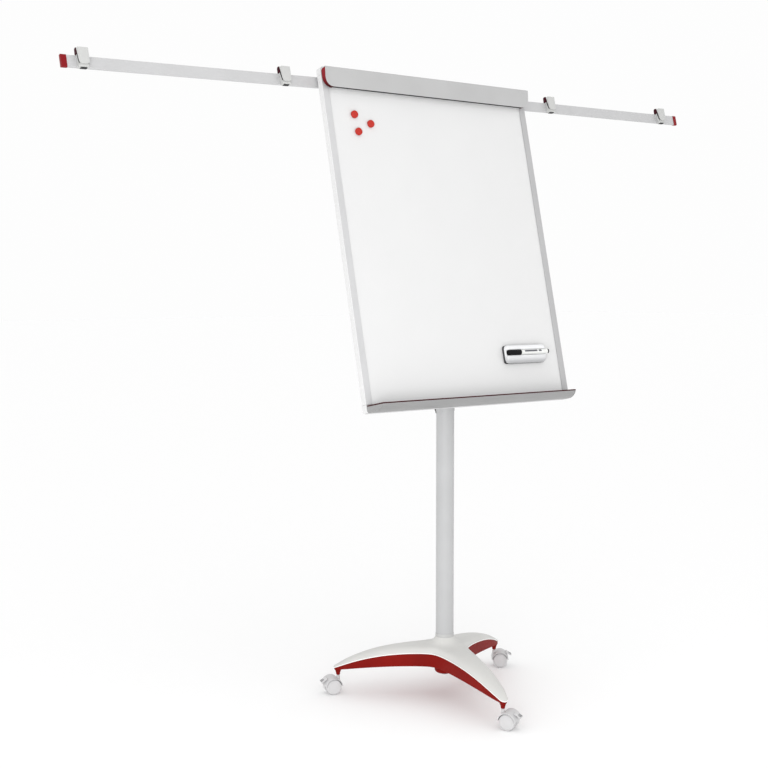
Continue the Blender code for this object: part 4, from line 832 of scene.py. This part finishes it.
def make_clip(name, x):
    """Arm clip centred at x: jaw with its pad, lined body between two cheeks, sole, and hook over the arm."""
    place = arm_place(name.split("_")[0]) @ Matrix.Translation((x, 0, 0))
    node = f"clip_{name}"
    low_centre = (CLIP_HALF - JAW_CORNER_RADIUS, JAW_LOW + JAW_CORNER_RADIUS)
    bend = arc(low_centre, JAW_CORNER_RADIUS, 0, -90, 10)
    stations = bend + [(-u, z) for u, z in reversed(bend)]
    loops = []
    for u, low in stations:
        bow = 0.0006 * (u / CLIP_HALF) ** 2
        levels = [low + (JAW_TOP - low) * k / 12 for k in range(13)]
        front = [(u, JAW_FRONT + bow, z) for z in levels]
        heel = [-0.0136 + 0.0078 * max(0.0, (z + 0.0225) / 0.038) ** 1.25 for z in levels]
        back = [(u, y, z) for y, z in zip(reversed(heel), reversed(levels))]
        loops.append(front + back)
    piece(f"{node}_jaw", moved(loft(loops), place), CLIP_WHITE, node, bevel=0.0005, edge_angle=40)

    pad = [(-0.0052, 0.0014), (0.0072, 0.0014), (0.0064, 0.0185), (-0.0040, 0.0188)]
    pad = rounded_path(pad, [0.001, 0.0030, 0.005, 0.004])
    pad = moved(prism_x(pad, (-0.0132, 0.0132)), place)
    piece(f"{node}_pad", pad, MAROON_RUBBER, node, nodes=(), bevel=0.0006, edge_angle=50)

    curve = [(-0.0054, 0.0024), (-0.0070, -0.0060), (-0.0094, -0.0140), (-0.0114, -0.0196), (-0.0122, -0.0218)]
    section = curve + [(y + 0.0016, z - 0.0002) for y, z in reversed(curve)]
    edges = [prism_x(section, both_ways(0.0106, 0.0126, side)) for side in (-1, 1)]
    piece(f"{node}_lining", moved(joined(edges), place), DARK_RUBBER, node, nodes=(), edge_angle=40)

    lower = [(y + 0.0003, z) for y, z in curve]
    body = [(-0.0004, 0.0006)] + lower + [(-0.0116, -0.0282), (-0.0088, -0.0310), (0.0020, -0.0318)]
    body += [(0.0020, -ARM_HEIGHT - 0.0008), (-0.0004, -ARM_HEIGHT - 0.0008)]
    body = moved(prism_x(body, (-0.0104, 0.0104)), place)
    piece(f"{node}_body", body, CLIP_WHITE, node, nodes=(), bevel=0.0004, edge_angle=45)
    rear = [(y + 0.0019, z - 0.0002) for y, z in curve]
    side_plate = [(-0.0004, 0.0006)] + rear + [(-0.0106, -0.0285), (-0.0080, -0.0308), (-0.0004, -0.0308)]
    plates = [prism_x(side_plate, both_ways(0.0105, 0.0124, side)) for side in (-1, 1)]
    piece(f"{node}_cheeks", moved(joined(plates), place), CLIP_WHITE, node, nodes=(), edge_angle=45)
    sole = rounded_path([(-0.0095, -0.0312), (-0.0086, -0.0326), (0.0010, -0.0326), (0.0010, -0.0318)], 0.0003, 2)
    piece(f"{node}_sole", moved(prism_x(sole, (-0.0078, 0.0078)), place), DARK_RUBBER, node, nodes=())
    inside = HOOK_BACK - 0.0008
    hook = [(-0.0036, 0.0006), (-0.0036, HOOK_TOP), (HOOK_BACK, HOOK_TOP), (HOOK_BACK, HOOK_LOW)]
    hook += [(inside, HOOK_LOW), (inside, 0.0006)]
    piece(f"{node}_hook", moved(prism_x(hook, (-0.0124, 0.0124)), place), CLIP_WHITE, node, nodes=(), bevel=0.0003)


# ---------------------------------------------------------------- board pieces
MAGNETS = ((-0.263, 0.778), (-0.214, 0.7556), (-0.257, 0.731))
ON_PANEL = 0.003 - 0.0003  # y of the panel's face, less the gap kept before it
TO_FRONT = Matrix.Rotation(math.pi / 2, 4, "X")


def make_magnets():
    """Round magnets with a shallow dish in the face."""
    for number, (x, z) in enumerate(MAGNETS, 1):
        profile = [(0, 0.0002), (0.0092, 0.0002), (0.0102, 0.0010)]
        profile += [(0.01025 - 0.0022 * (1 - math.cos(a)), 0.0052 + 0.0020 * math.sin(a))
                    for a in [math.pi / 2 * k / 7 for k in range(8)]]
        profile += [(0.0070, 0.0073), (0.0066, 0.0070), (0.0030, 0.00715), (0, 0.0072)]
        place = BOARD @ Matrix.Translation((x, ON_PANEL, z)) @ TO_FRONT
        piece(f"magnet_{number}_disc", turned(profile, 56, place), MAGNET_RED, f"magnet_{number}", edge_angle=50)


SCREW_CAP_Z = 0.8150
SCREW_CAP_RADIUS = 0.0034
SCREW_CAP_HALF = 0.0082
SCREW_CAP_LEAN = math.radians(14)


def make_collar_screw_cap():
    """Dark rounded cap on the clamping screw's end, low on the left of the collar."""
    outwards = Vector((-0.78, 0.63, 0))
    centre = POST + outwards * 0.0258 + Vector((0, 0, SCREW_CAP_Z))
    sweep = [math.pi * k / 14 for k in range(1, 14)]
    profile = [(SCREW_CAP_RADIUS * math.sin(a), -SCREW_CAP_HALF * math.cos(a)) for a in sweep]
    profile = [(0, -SCREW_CAP_HALF)] + profile + [(0, SCREW_CAP_HALF)]
    lean = Matrix.Rotation(SCREW_CAP_LEAN, 4, outwards.cross(Vector((0, 0, 1))))
    cap = turned(profile, 32, Matrix.Translation(centre) @ lean)
    piece("collar_screw_cap", cap, BLACK_PLASTIC, "post_collar", nodes=())


ERASER_CENTRE = (0.203, 0.1145)
ERASER_HALF = (0.074, 0.0255)
ERASER_FRONT = -0.0198
MARKER_RADIUS = 0.0078
MARKER_HALF = 0.075
MARKER_OFFSET = (0.0035, 0.0033)


def make_eraser():
    """Felt, white grip with a groove, and the marker in the groove."""
    place = BOARD @ Matrix.Translation((ERASER_CENTRE[0], ON_PANEL, ERASER_CENTRE[1]))
    half_x, half_z = ERASER_HALF

    def outline(grow, radius):
        x, z = half_x + grow, half_z + grow
        return rounded_path([(-x, -z), (x, -z), (x, z), (-x, z)], radius, 8)

    felt = prism_y(outline(0.0, 0.010), (-0.0070, -0.0002))
    piece("eraser_felt_pad", moved(felt, place), FELT, "eraser_felt", bevel=0.0008)
    steps = (  # y, how far the outline is drawn in, and how far its lower edge lifts
        (-0.0073, 0.0006, 0), (-0.0080, 0.0, 0), (-0.0125, 0.0006, 0.0010), (-0.0160, 0.0018, 0.0026),
        (-0.0182, 0.0036, 0.0042), (-0.0194, 0.0056, 0.0052), (ERASER_FRONT, 0.0078, 0.0056),
    )
    loops = []
    for y, shrink, lift in steps:
        loop = outline(-shrink, 0.013 - shrink * 0.3)
        loops.append([(x, y, z + lift * max(0.0, -z) / half_z) for x, z in loop])
    body = new_object("eraser_grip", moved(loft(loops), place))
    middle_x, middle_z = MARKER_OFFSET
    slot = place @ Matrix.Translation((0, ERASER_FRONT, middle_z))
    start, end = middle_x - MARKER_HALF - 0.001, half_x + 0.010
    reach = MARKER_RADIUS + 0.0006
    carve(body, "DIFFERENCE", turned([(0, start), (reach, start), (reach, end), (0, end)], 48, slot, "X"))
    node = "eraser_body"
    # the grip's look carries painted shade, darker towards its lower edge
    finish_piece(body, ERASER_WHITE_PAINTED_SHADE, BODY_OF[node], SLOT_OF[node], (node,), bevel=0.0005)

    centre = slot @ Matrix.Translation((middle_x, 0, 0))
    split = -MARKER_HALF + 0.046
    r = MARKER_RADIUS
    cap = [
        (0, -MARKER_HALF), (r - 0.0030, -MARKER_HALF), (r - 0.0012, -MARKER_HALF + 0.0006),
        (r - 0.0004, -MARKER_HALF + 0.0020), (r, split - 0.004), (r, split - 0.0006), (r - 0.0006, split), (0, split),
    ]
    piece("marker_cap_shell", turned(cap, 48, centre, "X"), BLACK_PLASTIC, "marker_cap", edge_angle=40)
    barrel = [(0, split + 0.0003), (r - 0.0006, split + 0.0003), (r - 0.0006, MARKER_HALF - 0.0060),
              (r - 0.0010, MARKER_HALF - 0.0056), (0, MARKER_HALF - 0.0056)]
    piece("marker_barrel_shell", turned(barrel, 48, centre, "X"), WHITE_PLASTIC, "marker_barrel", edge_angle=40)
    plug = [(0, MARKER_HALF - 0.0054), (r - 0.0012, MARKER_HALF - 0.0054), (r - 0.0014, MARKER_HALF - 0.0010),
            (r - 0.0024, MARKER_HALF), (0, MARKER_HALF)]
    piece("marker_plug", turned(plug, 48, centre, "X"), BLACK_PLASTIC, "marker_barrel", nodes=(), edge_angle=40)
    bands = []
    for low, high in ((split + 0.012, split + 0.058), (split + 0.064, split + 0.074)):
        sweep = [math.radians(50 + 42 * k / 10) for k in range(11)]
        shell = []
        for u in (low, high):
            outside = [(u, -(r - 0.0005) * math.sin(a), (r - 0.0005) * math.cos(a)) for a in sweep]
            inside = [(u, -(r - 0.0009) * math.sin(a), (r - 0.0009) * math.cos(a)) for a in reversed(sweep)]
            shell.append(outside + inside)
        bands.append(moved(loft(shell), centre))
    piece("marker_bands", joined(bands), PRINT_GREY, "marker_barrel", nodes=())


BOARD_HALF = 0.3525
BOARD_LOW = -0.020
CORNER_SIZE = 0.022
CORNER_RADIUS = 0.008
TRAY_HALF_LENGTH = 0.351
TRAY_END_SLANT = 0.34  # how much shorter the tray gets for each metre forwards
TRAY_WALL = 0.0028


def make_low_corner(side, side_name):
    """Corner block in the frame's colour with painted light on its left-facing faces, and the end of the tray in the
    tray's look with painted shade.
    """
    node = f"corner_low_{side_name}"
    corner = (BOARD_HALF - CORNER_RADIUS, BOARD_LOW + CORNER_RADIUS)
    inner_x, high_z = BOARD_HALF - CORNER_SIZE, BOARD_LOW + CORNER_SIZE
    outline = [(inner_x, BOARD_LOW)] + arc(corner, CORNER_RADIUS, -90, 0, 14)
    outline += [(BOARD_HALF, high_z), (inner_x, high_z)]
    block = loft([[(side * x, y, z) for x, z in outline] for y in (0, RAIL_DEPTH)])
    made = piece(f"{node}_block", moved(block, BOARD), FRAME_COAT, node, bevel=0.0007, segments=3)
    # painted light: the block's left-facing faces take the paler copy of the frame's coat
    second_look(made, LEFT_FACE_PAINTED_LIGHT, faces_left)
    edge = [  # (forwards, z)
        (0.0004, -0.0194), (0.012, -0.0196), (0.020, -0.0187), (0.028, -0.0170), (0.034, -0.0149), (0.040, -0.0120),
        (0.044, -0.0095), (0.0475, -0.0065), (0.050, -0.0033), (0.0004, -0.0033),
    ]
    loops = []
    for inset_x in (TRAY_WALL - 0.0003, 0):
        loops.append([(side * (TRAY_HALF_LENGTH - TRAY_END_SLANT * n - inset_x), -n, z) for n, z in edge])
    # the tray's end takes the tray's look with painted shade
    piece(f"{node}_tray_end", moved(loft(loops), BOARD), TRAY_COAT_PAINTED_SHADE, node, nodes=(), bevel=0.0005)


REFINED = (  # width of the edges' rounding, and the CAD nodes that get it
    (0.0004, ("frame_right", "frame_top", "frame_bottom", "corner_top_right", "frame_left", "corner_top_left")),
    (0.0005, ("pen_tray", "tray_edge_strip")),
    (0.0003, ("arm_left", "arm_right")),
    (0.0005, ("arm_left_cap", "arm_right_cap")),
    (0.0004, (
        "tilt_bracket", "tilt_knob", "tilt_nut", "tilt_head", "height_lever", "arm_channel", "hook_rail",
        "clamp_hinge_rail", "pad_hook_left", "pad_hook_right", "post_glide", "guide_bush", "post_bolt", "back_panel",
    )),
)
# nodes whose left-facing faces take painted light, a paler copy of the frame's coat
PAINTED_LIGHT_ON_THE_LEFT = ("frame_left", "corner_top_left")


def make_board():
    """Panel, frame, tray, arms, and the smaller parts behind the board and in the posts."""
    refine("writing_panel", 0.0)
    for side, side_name in ((-1, "left"), (1, "right")):
        make_low_corner(side, side_name)
    for bevel, refined in REFINED:
        for node in refined:
            made = refine(node, bevel)
            # painted light on the left-facing faces
            if node in PAINTED_LIGHT_ON_THE_LEFT:
                second_look(made, LEFT_FACE_PAINTED_LIGHT, faces_left)


make_base()
make_posts()
for leg_name in LEGS:
    make_castor(leg_name)
make_clamp()
for clip_name, clip_x in CLIPS.items():
    make_clip(clip_name, clip_x)
make_magnets()
make_collar_screw_cap()
make_eraser()
make_board()


# ---------------------------------------------------------------- stage and light
SKY_LEVEL = 0.945  # of the sky's light on the easel, halfway
SKY_SLOPE = 0.16  # how much more of it comes from SKY_TOWARDS
SKY_TOWARDS = Vector((-0.45, -0.72, 0.53)).normalized()
SEEN_LEVEL = 0.985  # of the sky as the camera sees it
LAMP_PLACE = Vector((-2.3, -2.4, 0.6))
LAMP_AIM = Vector((0, 0, 1.0))
LAMP_SIZE = 1.4
LAMP_POWER = 36.0
FLOOR_HALF = 40.0
FLOOR_WHITE = (0.985, 0.985, 0.985, 1)
WHITE = (1, 1, 1, 1)


def make_stage():
    """Plain pale floor."""
    mesh = bpy.data.meshes.new("floor")
    corners = [(x * FLOOR_HALF, y * FLOOR_HALF, 0) for x, y in ((-1, -1), (1, -1), (1, 1), (-1, 1))]
    mesh.from_pydata(corners, [], [(0, 1, 2, 3)])
    floor = bpy.data.objects.new("floor", mesh)
    bpy.context.scene.collection.objects.link(floor)
    pale, _, _, shader = new_material("pale_floor")
    shader.inputs["Base Color"].default_value = FLOOR_WHITE
    shader.inputs["Roughness"].default_value = 1.0
    shader.inputs["Specular IOR Level"].default_value = 0.0
    mesh.materials.append(pale)


def make_light():
    """Even pale studio, a little brighter from the front, with one large soft lamp to the left of the easel."""
    scene = bpy.context.scene
    scene.view_settings.view_transform = "Standard"
    world = bpy.data.worlds.new("studio")
    scene.world = world
    world.use_nodes = True
    nodes, links = world.node_tree.nodes, world.node_tree.links
    nodes.clear()
    out = nodes.new("ShaderNodeOutputWorld")
    seen = nodes.new("ShaderNodeBackground")
    seen.inputs["Color"].default_value = WHITE
    seen.inputs["Strength"].default_value = SEEN_LEVEL
    facing = nodes.new("ShaderNodeVectorMath")
    facing.operation = "DOT_PRODUCT"
    facing.inputs[1].default_value = SKY_TOWARDS
    links.new(nodes.new("ShaderNodeTexCoord").outputs["Generated"], facing.inputs[0])
    level = nodes.new("ShaderNodeMath")
    level.operation = "MULTIPLY_ADD"
    level.inputs[1].default_value = SKY_SLOPE
    level.inputs[2].default_value = SKY_LEVEL
    links.new(facing.outputs["Value"], level.inputs[0])
    glow = nodes.new("ShaderNodeBackground")
    glow.inputs["Color"].default_value = WHITE
    links.new(level.outputs["Value"], glow.inputs["Strength"])
    pick = nodes.new("ShaderNodeMixShader")
    links.new(nodes.new("ShaderNodeLightPath").outputs["Is Camera Ray"], pick.inputs["Fac"])
    links.new(glow.outputs[0], pick.inputs[1])
    links.new(seen.outputs[0], pick.inputs[2])
    links.new(pick.outputs[0], out.inputs["Surface"])
    data = bpy.data.lights.new("key", "AREA")
    data.shape = "SQUARE"
    data.size = LAMP_SIZE
    data.energy = LAMP_POWER
    lamp = bpy.data.objects.new("key", data)
    lamp.visible_camera = False
    lamp.location = LAMP_PLACE
    lamp.rotation_euler = (LAMP_AIM - LAMP_PLACE).to_track_quat("-Z", "Y").to_euler()
    scene.collection.objects.link(lamp)


make_stage()
make_light()
